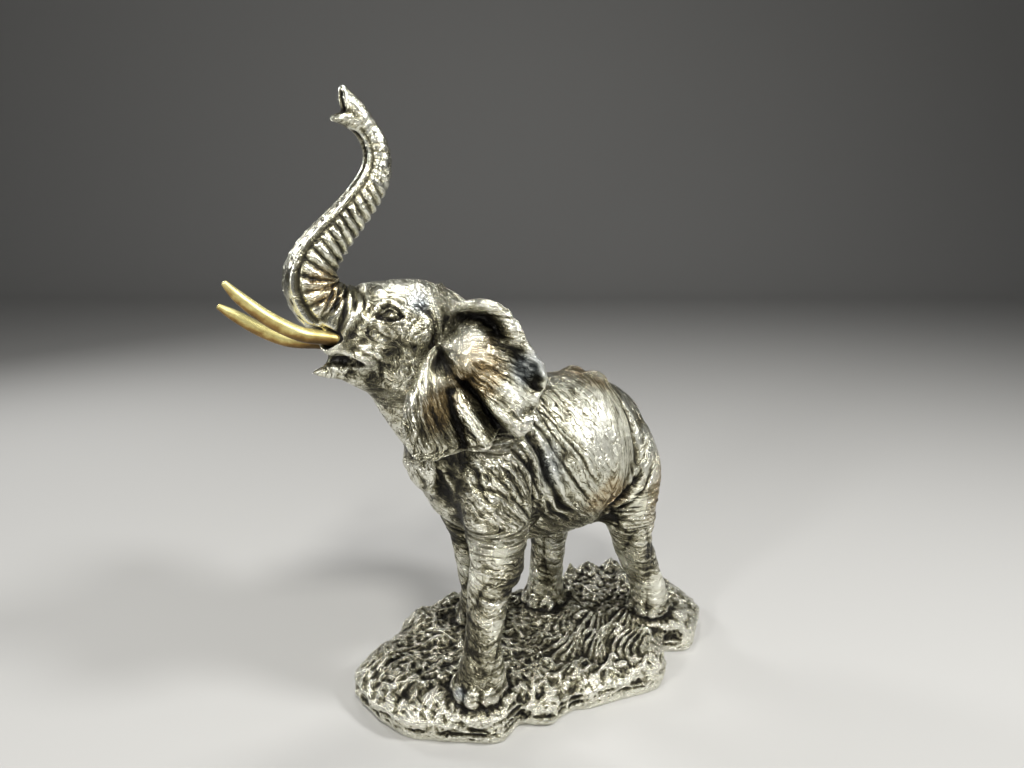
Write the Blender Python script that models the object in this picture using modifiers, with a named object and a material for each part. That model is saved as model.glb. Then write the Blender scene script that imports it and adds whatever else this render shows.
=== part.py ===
"""Cast statuette of an African elephant walking with its trunk raised.

The elephant and the rough patch of ground under it are one casting. Two gilt tusks are pieces of
their own, each set with a small clearance into a socket in the upper lip.

Metres, +Z up. The elephant faces -X and its left side is towards -Y. The origin is on the flat
underside, midway between the four feet. The figure's stations are shares of its own height: they
are written in parts, PARTS_HIGH of which make the height from the soles to the tip of the trunk.
"""

import itertools
import math

import bmesh
import bpy
import numpy as np
from mathutils import Vector

# Driving dimensions, in metres
FIGURE_HEIGHT = 0.244
GROUND_LENGTH = 0.184
GROUND_WIDTH = 0.112
SOLE_HEIGHT = 0.016
GROUND_EDGE = 0.009
EAR_THICKNESS = 0.0026
TUSK_DIAMETER = 0.0056
SOCKET_DEPTH = 0.007
SOCKET_CLEARANCE = 0.0003

# Mesh fineness
VOXEL = 0.0012
BLEND_RADIUS = 0.0030
CASTING_TRIANGLES = 8200

PARTS_HIGH = 24.4
PART = FIGURE_HEIGHT / PARTS_HIGH
HEAD_YAW = math.radians(9)
NECK_PIVOT = Vector((-5.0, 0.0, 0.0))
CASTING_NAME = "elephant_and_ground"

SILVER = ((0.55, 0.54, 0.50, 1.0), 0.35, 1.0)
GILT = ((0.83, 0.62, 0.27, 1.0), 0.30, 1.0)

# Stations of each loft, in parts: x, y, z, half depth along the body, half width across it
TORSO = [
    (-6.1, 0.0, 9.9, 1.5, 1.5),
    (-5.2, 0.0, 9.8, 2.8, 2.5),
    (-3.6, 0.0, 9.6, 3.6, 3.1),
    (-1.6, 0.0, 9.1, 3.85, 3.3),
    (0.4, 0.0, 8.9, 3.85, 3.55),
    (2.3, 0.0, 8.95, 3.7, 3.35),
    (3.5, 0.0, 8.9, 3.0, 2.85),
    (4.4, 0.0, 8.6, 2.15, 2.15),
    (5.0, 0.0, 8.4, 1.2, 1.3),
]
NECK = [
    (-2.4, 0.0, 10.2, 2.6, 2.6),
    (-4.2, 0.0, 11.6, 2.9, 2.5),
    (-5.8, 0.1, 13.2, 2.6, 2.1),
    (-7.0, 0.3, 14.6, 2.1, 1.8),
]
LEFT_FORELEG = [
    (-3.7, -1.9, 10.2, 1.9, 1.5),
    (-4.1, -2.2, 8.6, 1.7, 1.45),
    (-4.35, -2.6, 7.0, 1.35, 1.3),
    (-4.45, -2.7, 5.9, 1.22, 1.15),
    (-4.8, -2.7, 4.7, 1.0, 1.0),
    (-5.0, -2.7, 3.5, 0.84, 0.86),
    (-5.1, -2.7, 2.3, 0.84, 0.86),
    (-5.2, -2.7, 1.1, 0.98, 1.0),
    (-5.3, -2.7, 0.2, 1.15, 1.15),
    (-5.3, -2.7, -0.6, 1.15, 1.15),
]
RIGHT_FORELEG = [
    (-3.7, 1.9, 10.2, 1.9, 1.5),
    (-3.5, 2.1, 8.4, 1.6, 1.4),
    (-3.3, 2.3, 7.0, 1.32, 1.25),
    (-2.95, 2.3, 5.8, 1.2, 1.12),
    (-2.75, 2.3, 4.7, 1.0, 1.0),
    (-2.6, 2.3, 3.6, 0.86, 0.86),
    (-2.45, 2.3, 2.4, 0.84, 0.86),
    (-2.2, 2.3, 1.2, 0.98, 1.0),
    (-2.15, 2.3, 0.2, 1.15, 1.15),
    (-2.15, 2.3, -0.6, 1.15, 1.15),
]
LEFT_HIND_LEG = [
    (3.1, -1.5, 9.3, 2.0, 1.5),
    (3.5, -1.8, 7.8, 2.05, 1.6),
    (3.6, -2.0, 6.2, 1.55, 1.4),
    (4.0, -2.0, 4.6, 1.05, 1.08),
    (4.65, -1.9, 2.9, 0.86, 0.92),
    (5.3, -1.9, 1.5, 0.9, 0.95),
    (5.65, -1.9, 0.2, 1.1, 1.1),
    (5.65, -1.9, -0.6, 1.1, 1.1),
]
RIGHT_HIND_LEG = [
    (3.3, 1.5, 9.4, 2.1, 1.5),
    (3.1, 1.8, 7.8, 2.1, 1.6),
    (2.5, 2.0, 6.0, 1.5, 1.35),
    (2.05, 2.0, 4.4, 1.08, 1.08),
    (1.85, 1.9, 2.8, 0.9, 0.92),
    (1.7, 1.9, 1.3, 0.94, 0.96),
    (1.65, 1.9, 0.2, 1.1, 1.1),
    (1.65, 1.9, -0.6, 1.1, 1.1),
]
TAIL = [
    (4.9, 0.1, 10.2, 0.42, 0.42),
    (5.55, 0.25, 9.6, 0.36, 0.34),
    (5.9, 0.45, 8.4, 0.28, 0.26),
    (5.8, 0.6, 7.0, 0.22, 0.22),
    (5.6, 0.8, 5.6, 0.3, 0.26),
    (5.5, 0.9, 4.5, 0.12, 0.12),
]

# The same on the head, where a point is: forward of the neck pivot, to the left, up
FACE = [
    (0.2, 0.0, 15.0, 1.9, 1.7),
    (1.6, 0.0, 15.4, 2.05, 1.85),
    (3.0, 0.0, 15.7, 1.75, 1.6),
    (4.3, 0.0, 15.95, 1.35, 1.25),
    (5.0, 0.0, 16.3, 1.15, 1.1),
]
JAW = [
    (1.4, 0.0, 13.9, 1.7, 1.5),
    (2.6, 0.0, 13.75, 1.3, 1.25),
    (3.7, 0.0, 13.8, 0.72, 0.85),
    (4.6, 0.0, 13.95, 0.34, 0.5),
    (5.3, 0.0, 13.95, 0.2, 0.3),
    (5.7, 0.0, 14.0, 0.1, 0.14),
]
TRUNK = [
    (4.2, 0.0, 15.95, 1.2, 1.2),
    (5.05, 0.0, 16.45, 1.14, 1.15),
    (5.5, 0.0, 17.15, 1.08, 1.08),
    (5.55, 0.0, 17.8, 1.0, 1.0),
    (5.15, 0.0, 18.6, 0.88, 0.9),
    (4.3, 0.0, 19.55, 0.75, 0.78),
    (3.57, 0.0, 20.35, 0.68, 0.7),
    (2.95, 0.0, 21.2, 0.62, 0.65),
    (2.74, 0.0, 21.95, 0.54, 0.58),
    (2.85, 0.0, 22.6, 0.5, 0.54),
    (3.14, 0.0, 23.1, 0.46, 0.5),
    (3.5, 0.0, 23.45, 0.42, 0.46),
]
UPPER_FINGER = [
    (3.3, 0.0, 23.3, 0.48, 0.50),
    (3.58, 0.0, 23.72, 0.45, 0.46),
    (3.8, 0.0, 24.05, 0.36, 0.40),
    (3.9, 0.0, 24.28, 0.26, 0.30),
    (3.94, 0.0, 24.48, 0.15, 0.17),
]
LOWER_FINGER = [
    (3.4, 0.0, 23.25, 0.42, 0.48),
    (3.8, 0.0, 23.40, 0.31, 0.44),
    (4.12, 0.0, 23.42, 0.21, 0.38),
    (4.33, 0.0, 23.38, 0.14, 0.27),
    (4.42, 0.0, 23.35, 0.09, 0.14),
]
CHEEKS = (3.4, 0.75, 14.9, 1.25, 0.85, 0.95)
LIP = (4.85, 0.8, 15.25, 0.62, 0.52, 0.55)
LEFT_TUSK = [
    (5.25, 0.9, 15.44),
    (6.2, 1.0, 15.67),
    (7.3, 1.2, 16.32),
    (8.2, 1.3, 17.1),
    (8.68, 1.3, 17.65),
]
RIGHT_TUSK = [
    (5.25, -0.9, 15.0),
    (6.3, -1.0, 15.15),
    (7.3, -1.1, 15.6),
    (8.2, -1.1, 16.2),
    (8.75, -1.1, 16.58),
]

# How each ear lies, the left and the right: turned in to the neck, and set back, in parts
EAR_TURN = {1: 0.0, -1: math.radians(11)}
EAR_BACK = {1: 0.0, -1: 1.2}
# The ear's margin from the top of its root, round the back, to the bottom of its root, on the
# head: forward, out to the side, up, then how far the ear stands out at its margin
EAR_ROOT = (1.15, 2.0, 15.0)
EAR_MARGIN = [
    (0.50, 2.0, 16.55, 0.0),
    (-0.20, 2.9, 16.8, 0.30),
    (-0.85, 3.3, 16.65, 0.45),
    (-1.40, 3.7, 16.0, 0.40),
    (-1.85, 4.0, 15.0, 0.25),
    (-2.40, 4.2, 14.0, 0.15),
    (-2.40, 4.1, 13.4, 0.05),
    (-2.05, 4.1, 12.9, 0.0),
    (-1.80, 4.0, 12.0, 0.30),
    (-1.42, 3.9, 11.72, 0.40),
    (-1.05, 3.75, 11.68, -0.20),
    (-0.60, 3.6, 11.6, -0.25),
    (-0.15, 3.6, 11.2, 0.20),
    (0.30, 3.55, 11.12, 0.15),
    (0.70, 3.5, 11.1, -0.20),
    (1.20, 3.5, 11.05, -0.15),
    (2.10, 3.5, 10.95, -0.20),
    (2.75, 3.5, 11.15, -0.25),
    (3.15, 3.5, 11.9, -0.30),
    (3.15, 3.4, 12.6, -0.25),
    (2.75, 3.1, 13.45, -0.15),
    (2.00, 2.6, 14.4, -0.05),
    (1.40, 2.15, 14.85, 0.0),
]
# Its ridges and hollows on the side view of the head: how far each stands out, its widths ahead
# of its path and behind it, then forward and up along the path
EAR_FOLDS = [
    (0.50, 0.40, 0.40, [(1.05, 15.12), (0.70, 14.93), (0.36, 14.47)]),
    (-0.70, 0.36, 0.36, [(1.0, 15.5), (0.55, 15.95), (-0.08, 16.15), (-0.54, 15.9), (-0.73, 15.55)]),
    (0.50, 0.62, 0.62, [(-0.03, 14.87), (-0.58, 13.8), (-1.12, 12.8), (-1.39, 12.2)]),
    (-0.42, 0.34, 0.34, [(-1.39, 14.93), (-1.69, 14.34), (-1.95, 13.63)]),
    (-0.35, 0.15, 0.15, [(-1.98, 14.35), (-2.12, 13.9), (-2.05, 13.4)]),
    (-0.32, 0.17, 0.17, [(-2.1, 12.78), (-1.7, 12.52)]),
    (-1.00, 0.46, 0.19, [(0.30, 13.65), (-0.18, 12.93), (-0.5, 12.28), (-0.89, 11.67)]),
    (0.42, 0.34, 0.34, [(0.65, 13.7), (0.45, 12.88), (0.05, 11.87), (-0.25, 11.34)]),
    (-0.40, 0.22, 0.22, [(0.98, 13.3), (0.93, 12.32), (0.80, 11.4)]),
    (0.50, 0.75, 0.75, [(1.68, 13.7), (2.20, 13.0), (2.40, 12.15), (2.30, 11.65)]),
]

EYE = (2.84, 1.5, 16.25)
TEMPLE_BACK = 1.25
TEMPLE_OUT = 0.25
TEMPLE_UP = 0.35
# Hip bones under the skin of the back: x, to the side, up, then the three radii
HIPS = (2.35, 0.75, 12.05, 0.8, 0.7, 0.75)
NAIL = (0.17, 0.35, 0.47)
NAIL_HEIGHT = 0.22
RING_PITCH = 0.46
RING_DEPTH = 0.16
RIM_REACH = 1.08
MOUTH_DEPTH = 0.42
MOUTH = [(5.1, 14.5), (4.6, 14.47), (4.3, 14.4), (4.1, 14.26), (3.97, 14.05), (3.9, 13.8)]
FORE_TOES = (-80, -40, 0, 40, 80)
HIND_TOES = (-60, -20, 20, 60)
LEG_FOLD_DEPTH = 0.09
CREASE_WIDTH = 0.23
CREASE_DEPTH = 0.17
# Folds as they are seen from the side, each a path of x and height in parts
CREASES = [
    [(-4.2, 11.05), (-3.6, 10.35), (-3.1, 9.6), (-2.9, 8.7), (-2.9, 8.0), (-3.0, 7.3)],
    [(-3.4, 11.6), (-2.6, 10.3), (-2.0, 8.8), (-1.3, 7.6), (-0.2, 6.9)],
    [(-2.7, 12.6), (-1.4, 11.1), (-0.3, 9.5), (0.8, 7.9)],
    [(1.3, 6.2), (1.8, 6.9), (2.5, 7.5), (3.1, 8.1), (3.5, 8.7)],
    [(2.6, 11.8), (2.95, 10.5), (3.0, 9.5), (2.8, 8.6)],
    [(-6.4, 9.3), (-6.1, 9.5), (-5.5, 9.5), (-4.9, 9.25), (-4.3, 8.8), (-3.9, 8.2)],
]

TUFT_PITCH = 0.0052
TUFT_TURN = math.radians(-35)
# Rocks: place as shares of the ground's half length and half width, reach and height in metres
ROCKS = [
    (-0.28, 0.84, 0.0050, 0.0062),
    (-0.17, 0.82, 0.0045, 0.0055),
    (-0.52, 0.72, 0.0060, 0.0045),
    (-0.80, 0.42, 0.0070, 0.0030),
    (0.47, 0.55, 0.0050, 0.0056),
    (0.62, 0.56, 0.0048, 0.0066),
    (0.78, 0.46, 0.0055, 0.0062),
    (0.90, 0.05, 0.0060, 0.0042),
    (0.86, -0.30, 0.0065, 0.0026),
    (0.70, -0.55, 0.0060, 0.0018),
]

# Outline of the ground as shares of its half length and half width, anticlockwise from the front
GROUND_OUTLINE = [
    (-1.0, 0.20),
    (-0.99, 0.0),
    (-0.965, -0.15),
    (-0.92, -0.34),
    (-0.81, -0.52),
    (-0.67, -0.71),
    (-0.59, -0.785),
    (-0.52, -0.745),
    (-0.445, -0.71),
    (-0.37, -0.80),
    (-0.32, -0.845),
    (-0.255, -0.82),
    (-0.165, -0.815),
    (-0.09, -0.87),
    (0.105, -0.94),
    (0.26, -1.0),
    (0.33, -0.98),
    (0.42, -0.84),
    (0.48, -0.72),
    (0.54, -0.63),
    (0.60, -0.67),
    (0.69, -0.74),
    (0.79, -0.66),
    (0.94, -0.45),
    (1.0, -0.18),
    (0.98, 0.12),
    (0.92, 0.40),
    (0.80, 0.62),
    (0.64, 0.69),
    (0.44, 0.62),
    (0.22, 0.68),
    (0.02, 0.78),
    (-0.20, 0.90),
    (-0.38, 0.90),
    (-0.52, 0.93),
    (-0.60, 0.80),
    (-0.70, 0.68),
    (-0.80, 0.58),
    (-0.90, 0.52),
    (-0.98, 0.38),
]


def smooth_curve(rows, steps, closed=False):
    """Points on a Catmull-Rom curve through the rows, steps of them to a span."""
    rows = np.asarray(rows, float)
    count = len(rows)
    spans = count if closed else count - 1
    made = []
    for i in range(spans):
        if closed:
            a, b, c, d = (rows[(i + k) % count] for k in (-1, 0, 1, 2))
        else:
            a, b, c, d = (rows[min(max(i + k, 0), count - 1)] for k in (-1, 0, 1, 2))
        for t in np.arange(steps) / steps:
            made.append(
                0.5 * (2 * b + (c - a) * t + (2 * a - 5 * b + 4 * c - d) * t**2
                       + (3 * b - a - 3 * c + d) * t**3)
            )
    if not closed:
        made.append(rows[-1])
    return np.array(made)


def step_up(x, low, high):
    """0 below low, 1 above high and smooth between."""
    t = np.clip((x - low) / (high - low), 0, 1)
    return t * t * (3 - 2 * t)


def beside(seen, path):
    """For places on a side view: how far each is from a path, its share of the way along it, and
    whether it lies behind it."""
    line = smooth_curve(path, 6)
    start, run = line[:-1], np.diff(line, axis=0)
    offset = seen[:, None, :] - start[None]
    share = np.clip((offset * run[None]).sum(axis=2) / (run**2).sum(axis=1), 0, 1)
    off = offset - share[:, :, None] * run[None]
    apart = np.linalg.norm(off, axis=2)
    nearest = apart.argmin(axis=1)
    pick = np.arange(len(seen))
    off, ahead = off[pick, nearest], run[nearest]
    is_behind = ahead[:, 0] * off[:, 1] < ahead[:, 1] * off[:, 0]
    return apart[pick, nearest], (nearest + share[pick, nearest]) / len(run), is_behind


def on_head(point):
    """A point on the head (forward of the neck pivot, left, up) in the figure's parts."""
    forward, left, up = point
    ahead = Vector((-math.cos(HEAD_YAW), math.sin(HEAD_YAW), 0))
    side = Vector((-math.sin(HEAD_YAW), -math.cos(HEAD_YAW), 0))
    return tuple(NECK_PIVOT + ahead * forward + side * left + Vector((0, 0, up)))


def head_stations(stations):
    return [(*on_head(s[:3]), *s[3:]) for s in stations]


def across_head():
    """The direction from the middle of the head to its left."""
    return Vector(on_head((0, 1, 0))) - Vector(on_head((0, 0, 0)))


def from_head(points):
    """Points in the figure's parts as forward and up on the side view of the head."""
    ahead = Vector(on_head((1, 0, 0))) - Vector(on_head((0, 0, 0)))
    offset = points - np.array(NECK_PIVOT)
    return np.stack([offset @ np.array(ahead), points[:, 2]], axis=1)


def placed(points):
    """Points in parts, as metres above the underside."""
    return np.asarray(points, float) * PART + np.array([0, 0, SOLE_HEIGHT])


def new_object(name, vertices, faces):
    mesh = bpy.data.meshes.new(name)
    mesh.from_pydata([tuple(v) for v in vertices], [], faces)
    obj = bpy.data.objects.new(name, mesh)
    bpy.context.scene.collection.objects.link(obj)
    return obj


def loft(name, stations, across=(0, -1, 0), sides=28, steps=5, cap_rings=4):
    """A closed round-ended body through the stations; across is the direction of the half width."""
    rows = smooth_curve(stations, steps)
    centres, depth, width = rows[:, :3], rows[:, 3], rows[:, 4]
    along = np.gradient(centres, axis=0)
    along /= np.linalg.norm(along, axis=1)[:, None]
    across = np.asarray(across, float)
    side = across - (along @ across)[:, None] * along
    side /= np.linalg.norm(side, axis=1)[:, None]
    front = np.cross(side, along)
    rings = []
    for k in range(cap_rings):
        lean = math.pi / 2 * (cap_rings - k) / (cap_rings + 0.3)
        back = centres[0] - along[0] * depth[0] * math.sin(lean) * 0.6
        rings.append((back, 0, math.cos(lean)))
    rings += [(centres[i], i, 1.0) for i in range(len(rows))]
    for k in range(cap_rings):
        lean = math.pi / 2 * (k + 1) / (cap_rings + 0.3)
        ahead = centres[-1] + along[-1] * depth[-1] * math.sin(lean) * 0.6
        rings.append((ahead, -1, math.cos(lean)))
    turn = np.arange(sides) * 2 * math.pi / sides
    vertices = []
    for centre, i, scale in rings:
        for angle in turn:
            vertices.append(
                centre
                + front[i] * depth[i] * scale * math.cos(angle)
                + side[i] * width[i] * scale * math.sin(angle)
            )
    faces = []
    for ring, k in itertools.product(range(len(rings) - 1), range(sides)):
        a, b = ring * sides + k, ring * sides + (k + 1) % sides
        faces.append((a, b, b + sides, a + sides))
    faces.append(tuple(reversed(range(sides))))
    faces.append(tuple(range((len(rings) - 1) * sides, len(rings) * sides)))
    obj = new_object(name, placed(vertices), faces)
    face_outwards(obj)
    return obj


def face_outwards(obj):
    work = bmesh.new()
    work.from_mesh(obj.data)
    bmesh.ops.recalc_face_normals(work, faces=work.faces)
    work.to_mesh(obj.data)
    work.free()


def blob(name, centre, radii, turned=0.0):
    """An ellipsoid in parts, with its long way turned about Z by an angle."""
    bpy.ops.mesh.primitive_uv_sphere_add(segments=24, ring_count=16, radius=1)
    obj = bpy.context.object
    obj.name = name
    obj.scale = [r * PART for r in radii]
    obj.rotation_euler = (0, 0, turned)
    obj.location = placed([centre])[0]
    bpy.ops.object.transform_apply(location=True, rotation=True, scale=True)
    return obj


def ear(name, side):
    """One ear: it runs from its root to its margin, and a Solidify gives it its thickness."""
    rings, steps = 26, 6
    margin = smooth_curve(EAR_MARGIN, steps)
    root = np.array(EAR_ROOT)
    outward = np.array([0.45, 1.0, 0.1])
    outward /= np.linalg.norm(outward)
    turn = EAR_TURN[side]
    share = np.arange(rings + 1) / rings
    vertices = []
    for row in margin:
        upper = max(0.0, min(1.0, (row[2] - 13.5) / 2.5))
        points = root + (row[:3] - root) * share[:, None]
        relief = 0.45 * np.sin(math.pi * share**0.7) + row[3] * share**3.2
        relief += 0.30 * upper * np.exp(-(((share - 0.90) / 0.09) ** 2))
        for rise, ahead, behind, path in EAR_FOLDS:
            apart, _, is_behind = beside(points[:, [0, 2]], path)
            relief += rise * np.exp(-((apart / np.where(is_behind, behind, ahead)) ** 2))
        points = points + outward * relief[:, None]
        forward, left = points[:, 0] - root[0], points[:, 1] - root[1]
        points[:, 0] = root[0] + forward * math.cos(turn) + left * math.sin(turn)
        points[:, 1] = root[1] + left * math.cos(turn) - forward * math.sin(turn)
        points[:, 0] -= EAR_BACK[side] * share
        vertices += [on_head((p[0], side * p[1], p[2])) for p in points]
    stride = rings + 1
    faces = [
        (i * stride + k, i * stride + k + 1, (i + 1) * stride + k + 1, (i + 1) * stride + k)
        for i, k in itertools.product(range(len(margin) - 1), range(rings))
    ]
    obj = new_object(name, placed(vertices), faces)
    solid = obj.modifiers.new("thickness", "SOLIDIFY")
    solid.thickness = EAR_THICKNESS
    solid.offset = 0
    return obj


def scattered(points, seed):
    """A number from 0 to 1 for each whole-number point of a lattice."""
    x, y, z = (points[:, k].astype(np.int64) for k in range(3))
    mixed = x * 374761393 + y * 668265263 + z * 1440662683 + seed * 974634777
    mixed = (mixed ^ (mixed >> 13)) * 1274126177
    return ((mixed ^ (mixed >> 16)) & 0xFFFF) / 65535.0


def noise(points, seed=0):
    """Smooth noise from 0 to 1 over points, one swing to a unit of length."""
    cell = np.floor(points)
    part = points - cell
    part = part * part * (3 - 2 * part)
    total = np.zeros(len(points))
    for corner in itertools.product((0, 1), repeat=3):
        share = np.prod(np.where(corner, part, 1 - part), axis=1)
        total += share * scattered(cell + corner, seed)
    return total


def ground_relief(x, y):
    """Lumps, rocks and combed tufts on the ground, in metres, at x and y in metres."""
    flat = np.stack([x, y, np.zeros_like(x)], axis=1)
    lumps = noise(flat / 0.011, 1) - 0.5
    pebbles = noise(flat / 0.0046, 2) - 0.5
    along = x * math.cos(TUFT_TURN) + y * math.sin(TUFT_TURN)
    over = y * math.cos(TUFT_TURN) - x * math.sin(TUFT_TURN)
    bend = 0.0018 * np.sin(over / 0.0045)
    tufts = np.abs(np.sin(math.pi * (along + bend) / TUFT_PITCH)) ** 0.7
    grassy = np.exp(-((((x - 0.018) / 0.036) ** 2 + ((y + 0.026) / 0.027) ** 2) ** 1.5))
    relief = 0.0030 * lumps + 0.0013 * pebbles + 0.0020 * grassy * (tufts - 0.3)
    for rock_x, rock_y, reach, height in ROCKS:
        away = np.hypot(x - rock_x * GROUND_LENGTH / 2, y - rock_y * GROUND_WIDTH / 2)
        relief += height * np.exp(-((away / reach) ** 2))
    return relief


def ground():
    """The patch of ground as a closed body that runs below the underside, to be cut off there."""
    rings = 44
    outline = smooth_curve(GROUND_OUTLINE, 6, closed=True)
    outline = outline * np.array([GROUND_LENGTH / 2, GROUND_WIDTH / 2])
    count = len(outline)
    plan = np.concatenate([[[0.0, 0.0]]] + [outline * k / rings for k in range(1, rings + 1)])
    reach = np.concatenate([[0.0]] + [np.full(count, k / rings) for k in range(1, rings + 1)])
    fall = np.clip((reach - 0.84) / 0.16, 0, 1) ** 1.6
    level = SOLE_HEIGHT - 0.0006
    relief = ground_relief(plan[:, 0], plan[:, 1]) * (1 - 0.5 * fall)
    top = level + (GROUND_EDGE - level) * fall + relief
    for leg in (LEFT_FORELEG, RIGHT_FORELEG, LEFT_HIND_LEG, RIGHT_HIND_LEG):
        foot = placed(np.array(leg[-2][:3]))
        away = np.hypot(plan[:, 0] - foot[0], plan[:, 1] - foot[1]) / (leg[-2][3] * PART)
        trodden = np.exp(-((away / 1.45) ** 4))
        top = top * (1 - trodden) + level * trodden
    wall = (
        (0.75, 1.0),
        (0.50, 0.99),
        (0.25, 0.99),
        (-0.25, 0.975),
    )
    vertices = [tuple(row) for row in np.column_stack([plan, top])]
    rim = np.array(vertices[-count:])
    broken = noise(rim / 0.009, 3) - 0.5
    for share, spread in wall:
        spreads = spread + 0.03 * broken * (1 if share > 0 else 0)
        heights = rim[:, 2] * (share + (0.25 * broken if share > 0 else 0))
        vertices += [tuple(row) for row in np.column_stack([rim[:, :2] * spreads[:, None], heights])]
    rows = rings + len(wall)
    faces = [(0, 1 + k, 1 + (k + 1) % count) for k in range(count)]
    for ring, k in itertools.product(range(rows - 1), range(count)):
        a, b = 1 + ring * count + k, 1 + ring * count + (k + 1) % count
        faces.append((a, a + count, b + count, b))
    faces.append(tuple(1 + (rows - 1) * count + k for k in range(count)))
    obj = new_object("ground", vertices, faces)
    face_outwards(obj)
    return obj


def evaluated_copy(obj, name):
    graph = bpy.context.evaluated_depsgraph_get()
    mesh = bpy.data.meshes.new_from_object(obj.evaluated_get(graph), depsgraph=graph)
    copy = bpy.data.objects.new(name, mesh)
    copy.matrix_world = obj.matrix_world
    bpy.context.scene.collection.objects.link(copy)
    return copy


def joined(name, objects):
    """One object that holds the evaluated meshes of the others, which are removed."""
    work = bmesh.new()
    for obj in objects:
        copy = evaluated_copy(obj, obj.name + "_copy")
        work.from_mesh(copy.data)
        bpy.data.objects.remove(copy)
        bpy.data.objects.remove(obj)
    mesh = bpy.data.meshes.new(name)
    work.to_mesh(mesh)
    work.free()
    made = bpy.data.objects.new(name, mesh)
    bpy.context.scene.collection.objects.link(made)
    return made


def remesh(obj, size):
    step = obj.modifiers.new("remesh", "REMESH")
    step.mode = "VOXEL"
    step.voxel_size = size


def swell(obj, distance):
    step = obj.modifiers.new("swell", "DISPLACE")
    step.mid_level = 0
    step.strength = distance


def soften(obj, factor, times):
    step = obj.modifiers.new("soften", "SMOOTH")
    step.factor = factor
    step.iterations = times


def fused_body():
    """Torso, neck, legs, head and trunk as one skin, with the hollows between them filled in."""
    across = across_head()
    pieces = [
        loft("torso", TORSO),
        loft("neck", NECK),
        loft("left_foreleg", LEFT_FORELEG),
        loft("right_foreleg", RIGHT_FORELEG),
        loft("left_hind_leg", LEFT_HIND_LEG),
        loft("right_hind_leg", RIGHT_HIND_LEG),
        loft("face", head_stations(FACE), across),
        loft("jaw", head_stations(JAW), across),
        loft("trunk", head_stations(TRUNK), across),
    ]
    for side in (1, -1):
        x, y, z, *radii = CHEEKS
        pieces.append(blob("cheek", on_head((x, side * y, z)), radii, -HEAD_YAW))
        x, y, z, *radii = LIP
        pieces.append(blob("lip", on_head((x, side * y, z)), radii, -HEAD_YAW))
        x, y, z, *radii = HIPS
        pieces.append(blob("hip", (x, side * y, z), radii))
    body = joined("body", pieces)
    remesh(body, VOXEL)
    swell(body, BLEND_RADIUS)
    remesh(body, VOXEL)
    swell(body, -BLEND_RADIUS)
    soften(body, 0.5, 4)
    return joined("body", [body])


def toes(name, foot, turns):
    """Toenails: a low ellipsoid each, round the front of a foot."""
    made = []
    for k, turn in enumerate(turns):
        angle = math.radians(turn)
        x = foot[0] - 0.96 * foot[3] * math.cos(angle)
        y = foot[1] - 0.96 * foot[4] * math.sin(angle)
        made.append(blob(f"{name}_{k}", (x, y, NAIL_HEIGHT), NAIL, angle))
    return made


def spine_of(stations, across):
    """A loft's centre line, with the directions along it, to its front and to its side."""
    rows = smooth_curve(stations, 8)
    along = np.gradient(rows[:, :3], axis=0)
    along /= np.linalg.norm(along, axis=1)[:, None]
    across = np.asarray(across, float)
    side = across - (along @ across)[:, None] * along
    side /= np.linalg.norm(side, axis=1)[:, None]
    steps = np.linalg.norm(np.diff(rows[:, :3], axis=0), axis=1)
    length = np.concatenate([[0], np.cumsum(steps)])
    return rows, along, np.cross(side, along), side, length


def on_spine(spine, points):
    """For each point: how far along the spine it is, its offset to the front and side, the radius."""
    rows, along, front, side, length = spine
    nearest = np.empty(len(points), int)
    for start in range(0, len(points), 20000):
        some = points[start : start + 20000]
        apart = ((some[:, None, :] - rows[None, :, :3]) ** 2).sum(axis=2)
        nearest[start : start + 20000] = apart.argmin(axis=1)
    offset = points - rows[nearest, :3]
    ahead = (offset * along[nearest]).sum(axis=1)
    to_front = (offset * front[nearest]).sum(axis=1)
    to_side = (offset * side[nearest]).sum(axis=1)
    return length[nearest] + ahead, to_front, to_side, rows[nearest, 3], nearest


def carve_trunk(points, normals):
    """Rings round the back and sides of the trunk, and the flat rimmed face under it."""
    spine = spine_of(head_stations(TRUNK), across_head())
    along, front, side, radius, index = on_spine(spine, points)
    total = spine[4][-1]
    share = np.clip(along / total, 0, 1)
    off = np.hypot(front, side)
    near = step_up(-off, -1.5 * radius, -1.25 * radius)
    near *= step_up(along, 0.2, 1.2) * step_up(-along, -total + 0.1, -total + 0.6)
    lean = np.abs(np.arctan2(side, front))
    square = np.minimum(0.90 / np.cos(np.minimum(lean, 1.2)), RIM_REACH) - 1
    square *= step_up(-lean, -1.15, -0.75)
    hollow = -0.30 * step_up(share, 0.62, 0.85) * step_up(-lean, -0.55, 0)
    outward = (front[:, None] * spine[2][index] + side[:, None] * spine[3][index]) / off[:, None]
    moved = points + (near * radius * (square + hollow))[:, None] * outward
    phase = along / RING_PITCH * (1 + 0.35 * share)
    groove = (0.5 + 0.5 * np.cos(2 * math.pi * phase)) ** 2.5
    back = step_up(lean, 0.85, 1.15)
    depth = RING_DEPTH * (1 - 0.55 * share)
    return moved - (near * back * groove * depth)[:, None] * normals


def carve_fold(points, normals, seen, path, depth):
    """A fold along a path on a side view of the figure, on both sides of it."""
    reach = 4 * CREASE_WIDTH
    low, high = np.min(path, axis=0) - reach, np.max(path, axis=0) + reach
    chosen = np.nonzero(((seen > low) & (seen < high)).all(axis=1))[0]
    apart, place, _ = beside(seen[chosen], path)
    away = apart / CREASE_WIDTH
    ends = step_up(place, 0, 0.25) * step_up(-place, -1, -0.75)
    facing = step_up(np.abs(normals[chosen, 1]), 0.2, 0.6)
    shape = -np.exp(-(away**2)) + 0.35 * np.exp(-((away - 1.7) ** 2))
    moved = points.copy()
    moved[chosen] += (depth * shape * ends * facing)[:, None] * normals[chosen]
    return moved


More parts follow.
